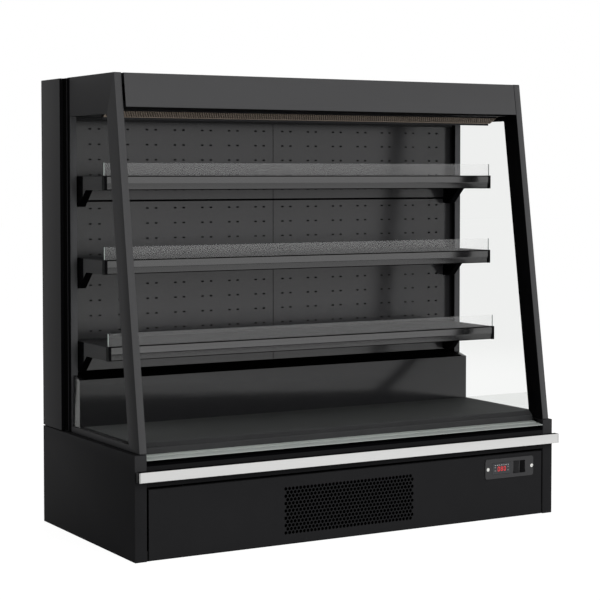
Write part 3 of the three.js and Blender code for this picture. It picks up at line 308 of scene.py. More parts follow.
# Painted shade: black without glint for the deep joints beside the end frames.
joint_shade_black = moulded("black_joint_shade", "#040404", 0.80, 0.004, 0.9, 0.12)
print("11 plastics and rubbers")

# %% [markdown]
# ## Metals
# The bumper is stainless steel brushed along its length: thousands of fine scratches run one
# way, so reflections smear across them. The screws are zinc plated, brighter and nearly smooth.
# A metal keeps the default index of refraction, its colour is its reflection.

# %% Metals
def brushed(name, chip, deeper, roughness, scratch_mm, run_mm, depth):
    """Metal brushed along X: a noise of scratch_mm across and run_mm along, in bump and gloss."""
    finish, tree, output, place = new_finish(name)
    across = 1 / (scratch_mm * MM)
    along = add_node(tree, "ShaderNodeMapping", {"Vector": place,
                                                 "Scale": (1 / (run_mm * MM), across, across)})
    lines = add_node(tree, "ShaderNodeTexNoise", {"Vector": along.outputs[0], "Scale": 1.0,
                                                  "Detail": 4.0, "Roughness": 0.6})
    shade = add_node(tree, "ShaderNodeMix", {"Factor": lines.outputs["Fac"], "A": linear(chip),
                                             "B": linear(deeper)}, data_type="RGBA")
    gloss = add_node(tree, "ShaderNodeMapRange", {"Value": lines.outputs["Fac"],
                                                  "To Min": roughness - 0.08,
                                                  "To Max": roughness + 0.08})
    bump = add_node(tree, "ShaderNodeBump", {"Height": lines.outputs["Fac"], "Strength": depth,
                                             "Distance": 0.04 * MM})
    metal = add_node(tree, "ShaderNodeBsdfPrincipled", {
        "Base Color": shade.outputs["Result"], "Metallic": 1.0, "Roughness": gloss.outputs[0],
        "Normal": bump.outputs[0]})
    tree.links.new(metal.outputs[0], output.inputs["Surface"])
    return finish


# The scratches are drawn 0.5 mm apart, about five times too coarse, so that they show at all.
steel = brushed("brushed_stainless_steel", "#dcdcdb", "#cacac9", 0.34, 0.5, 90, 0.10)
screw_metal = brushed("bright_zinc_plate", "#f2f2ee", "#dcdcd8", 0.26, 0.4, 6, 0.05)
pot_enamel = moulded("black_stoved_enamel", "#101011", 0.32, 0.4, 3.0, 0.04)
print("2 metals and an enamel")

# %% [markdown]
# ## Glass
# Toughened glass is clear with a green cast where light travels far inside it, at the cut edges.
# Real panes throw hardly any shadow, but a path tracer shades behind refractive glass, so the
# material turns plainly transparent for the rays that look for the lamps. It does so for the
# camera's own rays as well, because refraction left a grain in the picture.

# %% Glass and display
def clear_pane(name, chip, index, clearness):
    """Refractive glass. What the eye and the lamps send goes straight through it.

    The eye's part is a transparent tint, whose colour is the square root of the pane's because
    both faces take it, with a white haze of 1 - clearness. Mirrored in gloss it is refractive.
    """
    finish, tree, output, place = new_finish(name)
    cast = add_node(tree, "ShaderNodeTexNoise", {"Vector": place, "Scale": 1 / (400 * MM),
                                                 "Detail": 1.0})
    shade = add_node(tree, "ShaderNodeMix", {"Factor": cast.outputs["Fac"], "A": linear(chip),
                                             "B": linear("#f3f3f3")}, data_type="RGBA")
    pane = add_node(tree, "ShaderNodeBsdfPrincipled", {
        "Base Color": shade.outputs["Result"], "Roughness": 0.0,
        "Transmission Weight": clearness, "IOR": index})
    through = add_node(tree, "ShaderNodeBsdfTransparent", {"Color": linear("#f4f4f4")})
    tint = (*[value ** 0.5 for value in linear(chip)[:3]], 1.0)
    straight = add_node(tree, "ShaderNodeBsdfTransparent", {"Color": tint})
    milk = add_node(tree, "ShaderNodeBsdfDiffuse", {"Color": linear("#f3f3f3")})
    seen = add_node(tree, "ShaderNodeMixShader", {0: 1 - clearness, 1: straight.outputs[0],
                                                  2: milk.outputs[0]})
    ray = tree.nodes.new("ShaderNodeLightPath")
    lit = add_node(tree, "ShaderNodeMixShader", {0: ray.outputs["Is Shadow Ray"],
                                                 1: pane.outputs[0], 2: through.outputs[0]})
    mix = add_node(tree, "ShaderNodeMixShader", {0: ray.outputs["Is Camera Ray"],
                                                 1: lit.outputs[0], 2: seen.outputs[0]})
    tree.links.new(mix.outputs[0], output.inputs["Surface"])
    return finish


# The photographed panes hardly reflect, as coated shop glass does, so the index is set low.
toughened_glass = clear_pane("coated_toughened_glass", "#eeefee", 1.05, 1.0)
# The upstands are acrylic with a slight haze, which lifts what stands behind them.
shelf_acrylic = clear_pane("hazy_cast_acrylic", "#f7f7f7", 1.16, 0.955)
sawn_acrylic = moulded("sawn_acrylic_edge", "#aab2af", 0.60, 0.10, 0.8, 0.06)
print("2 clear panes and a sawn edge")


def plain_glow(name, chip, strength):
    """A printed or lit mark: its colour, and a little light of its own."""
    finish, tree, output, place = new_finish(name)
    uneven = add_node(tree, "ShaderNodeTexNoise", {"Vector": place, "Scale": 1 / (2.5 * MM)})
    gloss = add_node(tree, "ShaderNodeMapRange", {"Value": uneven.outputs["Fac"], "To Min": 0.3,
                                                  "To Max": 0.5})
    mark = add_node(tree, "ShaderNodeBsdfPrincipled", {
        "Base Color": linear(chip), "Roughness": gloss.outputs[0],
        "Emission Color": linear(chip), "Emission Strength": strength})
    tree.links.new(mark.outputs[0], output.inputs["Surface"])
    return finish


red_segment = plain_glow("lit_red_segment", "#e0252c", 0.8)
white_print = plain_glow("white_pad_print", "#d9d9d9", 0.0)
smoked_window = moulded("smoked_acrylic_window", "#2e2f31", 0.22, 0.25, 6.0, 0.01)
print("display finishes")

# %% [markdown]
# ## Sheets with holes
# The slotted wall, the vent, the return strip and the honeycomb are all the same thing: a flat
# or folded sheet on a lattice of lines, where some cells are whole, some are missing and some
# have a hole. A hole is a ring of points, joined to the corners of its own cell. So every
# neighbour shares its corners and no seam can open, and one function makes all of them.

# %% Pierced sheet
def new_piece(name, points, groups, finish, slot, body="cabinet", replaces=(), crease=32.0):
    """A mesh piece from points in metres and groups of faces with equal corner counts."""
    flat = np.concatenate([group.ravel() for group in groups])
    used, again = np.unique(flat, return_inverse=True)
    starts = np.cumsum([0] + [group.size for group in groups])
    faces = [row for group, start in zip(groups, starts)
             for row in again[start:start + group.size].reshape(group.shape).tolist()]
    mesh = bpy.data.meshes.new(name)
    mesh.from_pydata(points[used], [], faces)
    mesh.polygons.foreach_set("use_smooth", np.ones(len(mesh.polygons), bool))
    mesh.set_sharp_from_angle(angle=math.radians(crease))
    mesh.materials.append(finish)
    piece = add_object(name, mesh)
    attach(piece, body)
    if replaces:
        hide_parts(*replaces)
    return piece


def second_finish(piece, finish, chosen):
    """Gives finish to the faces of a piece that chosen(centres, normals) picks."""
    mesh = piece.data
    mesh.materials.append(finish)
    centres, normals = (np.zeros(3 * len(mesh.polygons)) for _ in range(2))
    index = np.zeros(len(mesh.polygons), np.int32)
    mesh.polygons.foreach_get("center", centres)
    mesh.polygons.foreach_get("normal", normals)
    mesh.polygons.foreach_get("material_index", index)
    index[chosen(centres.reshape(-1, 3), normals.reshape(-1, 3))] = len(mesh.materials) - 1
    mesh.polygons.foreach_set("material_index", index)


def pierced_sheet(xs, ss, whole, loops, rings, s, front, back):
    """Points and faces of a sheet on lines xs across and ss along its section.

    A corner's place in Y and Z is read off the section's front or back path, which has a row
    (y, z) for each value of s. whole[i, j] marks a plain cell. loops holds, for each hole, the
    lattice corners round its cells as (i, j), and rings the (x, s) points of its edge, k of them
    for each corner. Between corners a and a + 1 lies one face with ring points a*k to (a+1)*k.
    """
    nx, ns = len(xs), len(ss)
    lattice = np.stack(np.meshgrid(xs, ss, indexing="ij"), -1).reshape(-1, 2)
    flat = np.concatenate([lattice, rings.reshape(-1, 2)])
    count = len(flat)

    def lay(path):
        return np.stack([flat[:, 0], *(np.interp(flat[:, 1], s, row) for row in path.T)], -1)

    points = np.concatenate([lay(front), lay(back)])
    corner = np.arange(nx * ns).reshape(nx, ns)
    groups = []

    def both_sides(faces):
        groups.append(faces)
        groups.append(faces[:, ::-1] + count)

    i, j = np.nonzero(whole)
    both_sides(np.stack([corner[i, j], corner[i + 1, j], corner[i + 1, j + 1],
                         corner[i, j + 1]], -1))
    solid = whole.copy()
    if len(loops):
        outer = corner[loops[..., 0], loops[..., 1]]
        sides = outer.shape[1]
        ring = nx * ns + np.arange(rings.shape[0] * rings.shape[1]).reshape(rings.shape[:2])
        k = ring.shape[1] // sides
        for a in range(sides):
            arc = ring[:, np.arange((a + 1) * k, a * k - 1, -1) % ring.shape[1]]
            both_sides(np.concatenate([outer[:, [a]], outer[:, [(a + 1) % sides]], arc], -1))
        after = np.roll(ring, -1, axis=1)
        groups.append(np.stack([ring, after, after + count, ring + count], -1).reshape(-1, 4))
        low, high = loops.min(1), loops.max(1)
        for di in range((high - low)[:, 0].max()):
            solid[low[:, 0] + di, low[:, 1]] = True
    padded = np.pad(solid, 1)
    for axis in (0, 1):
        step = (1, 0) if axis == 0 else (0, 1)
        before = padded[:padded.shape[0] - step[0], :padded.shape[1] - step[1]]
        behind = padded[step[0]:, step[1]:]
        for sign, edge in ((1, before & ~behind), (-1, behind & ~before)):
            i, j = np.nonzero(edge[:, 1:-1] if axis == 0 else edge[1:-1, :])
            p = corner[i, j]
            q = corner[i, j + 1] if axis == 0 else corner[i + 1, j]
            wall = ([p, p + count, q + count, q] if axis == 0 else [p, q, q + count, p + count])
            faces = np.stack(wall, -1)
            groups.append(faces if sign > 0 else faces[:, ::-1])
    return points, [g for g in groups if len(g)]


# Lines nearer than APART are one line. A place that is NEAR before a line counts as on it.
APART, NEAR = 1e-6, 1e-7


def lines_of(*values):
    """Sorted lattice lines without near doubles."""
    ordered = np.sort(np.concatenate([np.atleast_1d(v) for v in values]))
    return ordered[np.concatenate([[True], np.diff(ordered) > APART])]


def line_at(lines, places):
    """The number of the last lattice line up to each of the places."""
    return np.searchsorted(lines, places + NEAR) - 1


def every_pair(first, second):
    """Each of the first with each of the second, as two rows of equal length."""
    return (grid.ravel() for grid in np.meshgrid(first, second, indexing="ij"))


def loops_from(i, j, steps):
    """The lattice corners round each hole, as steps from its lower left corner (i, j)."""
    return np.stack([np.stack([i + di, j + dj], -1) for di, dj in steps], 1)


def plain_cells(xs, ss, windows=()):
    """whole for a sheet: all its cells but those inside a window (x0, x1, s0, s1)."""
    middle_x, middle_s = (xs[1:] + xs[:-1]) / 2, (ss[1:] + ss[:-1]) / 2
    whole = np.ones((len(middle_x), len(middle_s)), bool)
    for x0, x1, s0, s1 in windows:
        whole[np.ix_((middle_x > x0) & (middle_x < x1), (middle_s > s0) & (middle_s < s1))] = False
    return whole


def punch(whole, xs, ss, at_x, at_s, edge):
    """Takes each cell at at_x and at_s out of whole. Gives the loops and rings of its holes."""
    i, j = every_pair(line_at(xs, at_x), line_at(ss, at_s))
    whole[i, j] = False
    centres = np.stack([(xs[i] + xs[i + 1]) / 2, (ss[j] + ss[j + 1]) / 2], -1)
    return loops_from(i, j, ((0, 0), (1, 0), (1, 1), (0, 1))), centres[:, None] + edge


def upright(y0, y1, z0, z1):
    """s, front and back path of a flat upright sheet, with s = z."""
    return (z0, z1), np.array([(y0, z0), (y0, z1)]), np.array([(y1, z0), (y1, z1)])


print("sheet builder ready")

# %% [markdown]
# ## The slotted wall
# Cold air leaves through rows of paired slots, 10 mm by 5 mm, punched every 48 mm. There are five
# rows in each upper panel and nine in each lower one. Near the ends, tall slots take the hooks
# of the shelf brackets. The slots' ends are half circles, sixteen points each hole.

# %% Slotted wall panels
LEVELS, SIDES = ("lower", "middle", "upper"), (("left", -1), ("right", 1))
SLOT_LENGTH, SLOT_HEIGHT = 10 * MM, 5 * MM
# Half sizes of the cell round a slot.
ROOM_X, ROOM_Z = SLOT_LENGTH * 0.78, SLOT_HEIGHT
PAIR_GAP, PAIR_PITCH, FIRST_PAIR, PAIRS = 30.8 * MM, 98.1 * MM, 50.7 * MM, 7
# For each level the first row's depth under the panel's top and the pitch, in mm, and the rows.
SLOT_ROWS = {"upper": (36, 47.8, 5), "lower": (23.7, 48, 9)}
# A bracket has two hooks. Each takes a tall slot round a height in mm off its shelf's top.
HOOK_HEIGHTS, HOOK_BELOW, HOOK_ABOVE = (-30, -78), 16 * MM, 11.2 * MM
HOOKS = [(top + height * MM - HOOK_BELOW, top + height * MM + HOOK_ABOVE)
         for top in (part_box(f"{level}_shelf")[1].z for level in LEVELS)
         for height in HOOK_HEIGHTS]
HOOK_X, HOOK_HALF, LEAST_HOOK = 686 * MM, 2.2 * MM, 2 * MM
# Dark joints between the panels: half of each joint's width is taken off each panel.
SEAM_X, SEAM_Z = 0.8 * MM, 2.8 * MM


def obround(half_length, half_height, corners=16):
    """Edge of a slot: a circle of half_height, each half moved out to its own end."""
    angle = np.radians(225) + np.arange(corners) * 2 * math.pi / corners
    side = np.sign(np.round(np.cos(angle), 6))
    return np.stack([side * (half_length - half_height) + half_height * np.cos(angle),
                     half_height * np.sin(angle)], -1)


def slotted_wall(level, side, sign):
    """One of the four wall panels, on the CAD panel's own box. Gives the count of its slots."""
    node = f"back_panel_{level}_{side}"
    low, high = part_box(node)
    first, pitch, rows = SLOT_ROWS[level]
    row_z = high.z - first * MM - pitch * MM * np.arange(rows)
    if sign < 0:
        high.x -= SEAM_X
    else:
        low.x += SEAM_X
    if level == "upper":
        low.z += SEAM_Z
    else:
        high.z -= SEAM_Z
    columns = FIRST_PAIR + PAIR_PITCH * np.arange(PAIRS)[:, None] + [-PAIR_GAP / 2, PAIR_GAP / 2]
    columns = sign * columns.ravel()
    hook_x = sign * HOOK_X
    xs = lines_of(low.x, high.x, columns - ROOM_X, columns + ROOM_X,
                  hook_x - HOOK_HALF, hook_x + HOOK_HALF)
    hooks = np.array([(max(a, low.z), min(b, high.z)) for a, b in HOOKS
                      if a < high.z - LEAST_HOOK and b > low.z + LEAST_HOOK])
    # An end of a hook's slot that falls in a row of cells moves to that row's edge.
    gap = hooks.reshape(-1, 1) - row_z
    nearest = np.abs(gap).argmin(1)
    off = gap[np.arange(len(gap)), nearest]
    ends = np.where(np.abs(off) < ROOM_Z, row_z[nearest] + np.where(off < 0, -1, 1) * ROOM_Z,
                    hooks.ravel())
    zs = lines_of(low.z, high.z, row_z - ROOM_Z, row_z + ROOM_Z, ends)
    whole = plain_cells(xs, zs, [(hook_x - HOOK_HALF, hook_x + HOOK_HALF, *pair)
                                 for pair in ends.reshape(-1, 2)])
    loops, rings = punch(whole, xs, zs, np.sort(columns), np.sort(row_z),
                         obround(SLOT_LENGTH / 2, SLOT_HEIGHT / 2))
    new_piece(f"slotted_wall_{level}_{side}",
              *pierced_sheet(xs, zs, whole, loops, rings, *upright(low.y, high.y, low.z, high.z)),
              inner_coat, "inner_paint", replaces=[node])
    return len(loops)


slots = sum(slotted_wall(level, side, sign) for side, sign in SIDES for level in SLOT_ROWS)
print("slotted wall with", slots, "slots")

# %% [markdown]
# ## The vent
# The plant breathes through staggered hexagonal holes, punched 12.8 mm apart. Staggered
# hexagons tile like bricks: each hole owns a brick whose six outline corners lie opposite the
# six corners of the hole, so six small faces close each brick. The panel is one sheet, folded
# back at its top and foot.

# %% Kick panel with its vent
def hexagon(half_width):
    """Hexagon with upright flats, corners from the lower left, anticlockwise."""
    angle = np.radians(210 + 60 * np.arange(6))
    return half_width / math.cos(math.pi / 6) * np.stack([np.cos(angle), np.sin(angle)], -1)


def brick_holes(x0, z0, pitch, columns, rows, half_width):
    """Lattice lines of staggered bricks, and the loops and rings of their holes.

    Row j holds bricks two half pitches wide and one row pitch (pitch * cos 30 degrees) tall. Odd
    rows start half a pitch later. A brick's outline is its foot's left, middle and right
    corners, then its top's right, middle and left ones.
    """
    xs = x0 + np.arange(2 * columns + 2) * pitch / 2
    rise = pitch * math.cos(math.pi / 6)
    zs = z0 + np.arange(rows + 1) * rise
    column, j = every_pair(np.arange(columns), np.arange(rows))
    i = 2 * column + j % 2
    centres = np.stack([xs[i + 1], zs[j] + rise / 2], -1)
    return (xs, zs, loops_from(i, j, ((0, 0), (1, 0), (2, 0), (2, 1), (1, 1), (0, 1))),
            centres[:, None] + hexagon(half_width))


def set_bricks(whole, xs, ss, brick_xs, brick_ss, loops):
    """The bricks' loops on the sheet's lines. Their cells, two each, are taken out of whole."""
    loops = loops + [line_at(xs, brick_xs[0]), line_at(ss, brick_ss[0])]
    for step in (0, 1):
        whole[loops[:, 0, 0] + step, loops[:, 0, 1]] = False
    return loops


def folded_path(corners, radius, steps=4):
    """A section with each right-angled inner corner rounded, as rows of (y, z)."""
    corners = np.array(corners, float)
    way = np.diff(corners, axis=0)
    way /= np.linalg.norm(way, axis=1)[:, None]
    turn = np.linspace(0, math.pi / 2, steps + 1)[:, None]
    parts = [corners[:1]]
    for corner, before, after in zip(corners[1:-1], -way[:-1], way[1:]):
        centre = corner + radius * (before + after)
        parts.append(centre - radius * (after * np.cos(turn) + before * np.sin(turn)))
    return np.concatenate(parts + [corners[-1:]])


kick_low, kick_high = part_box("kick_panel")
SHEET, FOOT_FOLD = 2 * MM, 5.7 * MM


def kick_section(inset, radius):
    """The folded sheet's outside, or its inside at an inset of one sheet."""
    face, foot, head = kick_low.y + inset, kick_low.z + inset, kick_high.z - inset
    return folded_path([(kick_low.y + FOOT_FOLD, foot), (face, foot), (face, head),
                        (kick_high.y, head)], radius)


outer, inner = kick_section(0, 2.6 * MM), kick_section(SHEET, 0.6 * MM)
# s is the height on the face, runs on below it along the foot fold, and above it along the top.
s = outer[:, 1].copy()
half = len(s) // 2
s[:half] -= np.maximum(outer[:half, 0] - kick_low.y, 0)
s[half:] += np.maximum(outer[half:, 0] - kick_low.y, 0)

VENT_X, VENT_Z, VENT_PITCH, VENT_HALF = -261 * MM, 31 * MM, 12.8 * MM, 4.95 * MM
VENT_COLUMNS, VENT_ROWS, ROWS_UNDER_PANEL = 36, 13, 10
vent_xs, vent_zs, loops, rings = brick_holes(VENT_X, VENT_Z, VENT_PITCH, VENT_COLUMNS, VENT_ROWS,
                                             VENT_HALF)
# The sheet is cut out behind the control panel.
cut = (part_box("controller")[0].x - 2.3 * MM, 643.7 * MM, vent_zs[ROWS_UNDER_PANEL], 186.5 * MM)
xs, zs = lines_of(kick_low.x, kick_high.x, vent_xs, cut[:2]), lines_of(s, vent_zs, cut[3])
whole = plain_cells(xs, zs, [cut])
loops = set_bricks(whole, xs, zs, vent_xs, vent_zs, loops)
kick = new_piece("kick_sheet", *pierced_sheet(xs, zs, whole, loops, rings, s, outer, inner),
                 black_coat, "body_paint", replaces=["kick_panel"])
print("kick panel with", len(loops), "hexagonal holes,", len(kick.data.polygons), "faces")

# %% [markdown]
# ## The honeycomb and the return strip
# Cold air is blown down as a curtain through a strip of small plastic cells that straighten it,
# and is drawn in again through a finely perforated strip along the front of the deck. The cells
# stand 8 mm apart with 2 mm between them, the perforations are 3 mm wide, every 5 mm.

# %% Honeycomb diffuser
low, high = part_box("honeycomb_diffuser")
BAND_WIDTH, BAND_DEPTH, BAND_LEAN = 51 * MM, 20 * MM, math.radians(25.5)
along = np.array([math.cos(BAND_LEAN), -math.sin(BAND_LEAN)])
up = np.array([math.sin(BAND_LEAN), math.cos(BAND_LEAN)])
start = np.array([low.y, low.z + BAND_WIDTH * math.sin(BAND_LEAN)])
bottom = np.array([start, start + BAND_WIDTH * along])
CELL, CELL_ROWS, CELL_HALF, RIM = 8 * MM, 6, 3.0 * MM, 4 * MM
columns = int((high.x - low.x - RIM) / CELL - 0.5)
start_x = -(columns + 0.5) * CELL / 2
start_s = (BAND_WIDTH - CELL_ROWS * CELL * math.cos(math.pi / 6)) / 2
cell_xs, cell_ss, loops, rings = brick_holes(start_x, start_s, CELL, columns, CELL_ROWS,
                                             CELL_HALF)
xs, ss = lines_of(low.x, high.x, cell_xs), lines_of(0, BAND_WIDTH, cell_ss)
whole = plain_cells(xs, ss)
loops = set_bricks(whole, xs, ss, cell_xs, cell_ss, loops)
points, groups = pierced_sheet(xs, ss, whole, loops, rings, (0, BAND_WIDTH), bottom,
                               bottom + BAND_DEPTH * up)
# The first path is the lower side here, so every face is turned over.
honeycomb = new_piece("honeycomb_strip", points, [g[:, ::-1] for g in groups], cell_plastic,
                      "diffuser_plastic", replaces=["honeycomb_diffuser"])
# The insides of the cells catch no light from the shop, so they get painted shade: a darker copy
# of the polymer.
second_finish(honeycomb, cell_shade, lambda c, n: n[:, 2] > -0.8)
print("honeycomb with", len(loops), "cells")

# %% Return-air strip
low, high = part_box("return_grille")
DROP, REACH, SKIN = 14 * MM, 16 * MM, 1.5 * MM
fold_y, fold_z = low.y, high.z - DROP
slant, run, foot = math.atan2(DROP, REACH), math.hypot(DROP, REACH), fold_z - low.z
s = np.array([0, foot, foot + run])
outer = np.array([(fold_y, low.z), (fold_y, fold_z), (high.y, high.z)])
bend = math.tan((math.pi / 2 - slant) / 2) * SKIN
inner = np.array([(fold_y + SKIN, low.z), (fold_y + SKIN, fold_z - bend),
                  (high.y, high.z - SKIN / math.cos(slant))])
HOLE_PITCH, HOLE_ROWS, ROW_PITCH, FIRST_ROW, BARE_ENDS = 5 * MM, 4, 4.4 * MM, 1.6 * MM, 12 * MM
count = int((high.x - low.x - BARE_ENDS) / HOLE_PITCH)
edges = (np.arange(count + 1) - count / 2) * HOLE_PITCH
row_edges = foot + FIRST_ROW + np.arange(HOLE_ROWS + 1) * ROW_PITCH
xs, ss = lines_of(low.x, high.x, edges), lines_of(s, row_edges)
whole = plain_cells(xs, ss)
loops, rings = punch(whole, xs, ss, edges[:-1], row_edges[:-1],
                     obround(1.5 * MM, 1.45 * MM, 8))
new_piece("return_air_strip", *pierced_sheet(xs, ss, whole, loops, rings, s, outer, inner),
          strip_coat, "inner_paint", replaces=["return_grille"])
print("return strip with", len(loops), "perforations")

# %% [markdown]
# ## Ticket rails
# A ticket rail is extruded in one long piece: an upright flat that holds price tickets over a
# second flat that leans back, with a groove for the clear upstand. Its section is a closed curve
# that is carried along the shelf, and a moulded cap closes each end.

# %% Sections carried along the cabinet
def carried(section, x0, x1):
    """Points and faces of a closed section in (y, z), carried from x0 to x1 with flat ends.

    Its area, positive for a section that runs anticlockwise, tells which way faces turn.
    """
    n = len(section)
    ends = [np.column_stack([np.full(n, x), section]) for x in (x0, x1)]
    here, there = np.arange(n), np.arange(1, n + 1) % n
    walls = np.stack([here, there, there + n, here + n], -1)
    area = np.sum(section[here, 0] * section[there, 1] - section[there, 0] * section[here, 1])
    groups = [walls[:, ::-1], here[None, ::-1], here[None] + n]
    if area < 0:
        groups = [g[:, ::-1] for g in groups]
    return np.concatenate(ends), groups


def oblong(y0, y1, z0, z1):
    """A rectangle's four corners in (y, z)."""
    return np.array([(y0, z0), (y1, z0), (y1, z1), (y0, z1)])


def rounded_plate(y0, y1, z0, z1, radius):
    """Rectangle in (y, z) with quarter-circle corners, five points each, anticlockwise."""
    turn = np.radians(np.linspace(0, 90, 5))
    parts = []
    for k, (y, z) in enumerate(((y1, z1), (y0, z1), (y0, z0), (y1, z0))):
        inward = radius * np.array([(-1, -1), (1, -1), (1, 1), (-1, 1)][k])
        angle = turn + k * math.pi / 2
        parts.append(np.array([y, z]) + inward
                     + radius * np.column_stack([np.cos(angle), np.sin(angle)]))
    return np.concatenate(parts)


# A dark lip hangs from the canopy's soffit and hides the front edge of the honeycomb.
soffit_low, soffit_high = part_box("canopy_front")
lip = rounded_plate(-81.8 * MM, -80.2 * MM, soffit_low.z - 5.2 * MM, soffit_low.z + 0.2 * MM,
                    0.5 * MM)
new_piece("soffit_lip", *carried(lip, soffit_low.x + 1 * MM, soffit_high.x - 1 * MM),
          fascia_coat, "canopy_paint")

# The rail's section, from the top of its front: the lower flat leans back by about 6 degrees
# under the upright one, then come the groove for the upstand and a flat back.
RAIL = np.array([(5.6, -43.5), (3.0, -41.0), (1.3, -25.0), (0.5, -23.6), (0.0, -22.8),
                 (0.0, -3.0), (0.5, -0.8), (1.6, 0.0), (5.0, 0.0), (5.0, -8.7), (9.6, -8.7),
                 (9.6, 0.0), (18.0, 0.0), (18.0, -43.5)]) * MM
# Depths under the rail's top at which its finish changes.
RAIL_BROW, TICKET_FOOT, RAIL_TOE = 2.5 * MM, 22.8 * MM, 41 * MM
# A cap is a plate with small round corners, 9 mm wide. It stands out a little beyond the rail's
# front, top and foot.
CAP_INNER, CAP_OUTER = 702.8 * MM, 711.8 * MM
for level in LEVELS:
    node = f"{level}_ticket_rail"
    low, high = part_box(node)
    section = RAIL + [high.y - RAIL[-1, 0], high.z]
    rail = new_piece(f"{level}_rail", *carried(section, -CAP_INNER, CAP_INNER), rail_plastic,
                     "rail_plastic", replaces=[node])
    # The rail's lower half is painted shade: a copy of the PVC that reflects less.
    second_finish(rail, rail_shaded_half, lambda c, n: c[:, 2] < high.z - TICKET_FOOT)
    second_finish(rail, strip_plastic, lambda c, n: (c[:, 2] > high.z - RAIL_BROW)
                  | (c[:, 2] < high.z - RAIL_TOE))
    plate = rounded_plate(low.y - 0.6 * MM, high.y - 0.2 * MM, low.z - 0.3 * MM,
                          high.z + 0.4 * MM, 1.2 * MM)
    for side, sign in SIDES:
        new_piece(f"{level}_rail_cap_{side}",
                  *carried(plate, *sorted((sign * CAP_INNER, sign * CAP_OUTER))), black_abs_and_painted_shade,
                  "black_plastic", replaces=[node])
print("3 ticket rails with end caps")

# %% Cut edges of the upstands
# Sawn acrylic scatters the light that runs inside the sheet, so each end shows as a pale line.
EDGE_OUT, EDGE_IN, IN_GROOVE = 0.8 * MM, 0.05 * MM, 9 * MM
for level in LEVELS:
    low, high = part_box(f"{level}_shelf_glass")
    section = oblong(low.y, high.y, low.z + IN_GROOVE, high.z)
    for side, ends in (("left", (low.x - EDGE_OUT, low.x + EDGE_IN)),
                       ("right", (high.x - EDGE_IN, high.x + EDGE_OUT))):
        new_piece(f"{level}_upstand_edge_{side}", *carried(section, *ends), sawn_acrylic,
                  "clear_glass")
print("6 cut edges")

# %% [markdown]
# ## Rounded folds
# Folded sheet never has a knife edge: the outside of a fold has a radius of a millimetre or
# two, and that thin line of light is what makes steel look like steel. A copy of the CAD piece
# is merged and cleaned, and a bevel rounds its edges. The copy stands in for the plain one.

# %% Eased copies of the plain pieces
def eased(node, width_mm, finish, body="cabinet", cut=None):
    """Copy of a node with its doubles merged, its flat faces made whole and its edges rounded.

    With a width of 0 the edges stay sharp, and so does the mesh. cut is a point and a direction
    of a plane that parts the faces, where two finishes meet.
    """
    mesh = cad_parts[node].data.copy()
    form = bmesh.new()
    form.from_mesh(mesh)
    bmesh.ops.remove_doubles(form, verts=form.verts, dist=0.01 * MM)
    if width_mm:
        bmesh.ops.dissolve_limit(form, angle_limit=math.radians(1), verts=form.verts,
                                 edges=form.edges)
    if cut:
        bmesh.ops.bisect_plane(form, geom=form.verts[:] + form.edges[:] + form.faces[:],
                               dist=0.01 * MM, plane_co=cut[0], plane_no=cut[1])
    form.to_mesh(mesh)
    form.free()
    mesh.name = f"{node}_eased"
    mesh.materials.clear()
    mesh.materials.append(finish)
    mesh.polygons.foreach_set("use_smooth", np.full(len(mesh.polygons), bool(width_mm)))
    mesh.polygons.foreach_set("material_index", np.zeros(len(mesh.polygons), np.int32))
    piece = add_object(f"{node}_eased", mesh)
    if width_mm:
        bevel = piece.modifiers.new("rounded_edges", "BEVEL")
        bevel.width = width_mm * MM
        bevel.segments = 3
        bevel.limit_method = "ANGLE"
        bevel.angle_limit = math.radians(40)
        bevel.harden_normals = True
    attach(piece, body)
    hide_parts(node)


EASED = (
    ("rear_body", 1.5, body_coat, "foamed_body"),
    ("roof_panel", 1.0, body_coat, "foamed_body"),
    ("canopy_front", 0.9, canopy_coat, "canopy_paint"),
    ("canopy_ceiling", 0.6, body_coat, "inner_paint"),
    ("deck_pan", 0.6, deck_coat, "inner_paint"),
    ("riser_panel", 0.6, riser_coat, "inner_paint"),
    ("lower_shelf middle_shelf upper_shelf", 0.6, shelf_coat, "inner_paint"),
    ("front_ledge", 0.8, ledge_coat, "ledge_aluminium"),
    ("bumper_bar", 1.1, steel, "brushed_steel"),
    ("bumper_end_left bumper_end_right", 1.1, black_abs_and_painted_shade, "black_plastic"),
)
for nodes, width, finish, slot in EASED:
    for node in nodes.split():
        eased(node, width, finish)
# Where two finishes meet: heights on the fascia and the base's sides, depths of the end frames'
# stiles and of the brackets' heels.
FASCIA_SHADE, POST_FOOT, STILE_FRONT, BRACKET_HEEL = 275.5 * MM, 262 * MM, 170.5 * MM, 131 * MM
eased("front_fascia", 0.8, fascia_coat, cut=((0, 0, FASCIA_SHADE), (0, 0, 1)))
for side, sign in SIDES:
    eased(f"base_side_{side}", 1.0, black_coat, cut=((0, 0, POST_FOOT), (0, 0, 1)))
    eased(f"side_frame_{side}", 1.5, frame_coat,
          cut=((0, STILE_FRONT, 0), (0, 1, 0)))
# The brackets are painted shade, near black; their outer faces before the heel turn grey further
# on.
for level in LEVELS:
    for side, sign in SIDES:
        eased(f"{level}_bracket_{side}", 0.6, painted_shade_coat,
              cut=((0, BRACKET_HEEL, 0), (0, 1, 0)))
for k in (1, 2, 3, 4):
    eased(f"key_{k}", 0.5, button_plastic, f"key_button_{k}")
eased("main_switch", 0.7, switch_plastic, "main_rocker")
eased("lamp_switch", 0.7, black_abs_and_painted_shade, "lamp_rocker")
# The bezel's plate has pockets that a bevel would crease, so its edges stay sharp.
eased("control_bezel", 0, bezel_plastic)


def refinish(node, finish, chosen):
    """second_finish on the eased copy of a node."""
    second_finish(bpy.data.objects[f"{node}_eased"], finish, chosen)


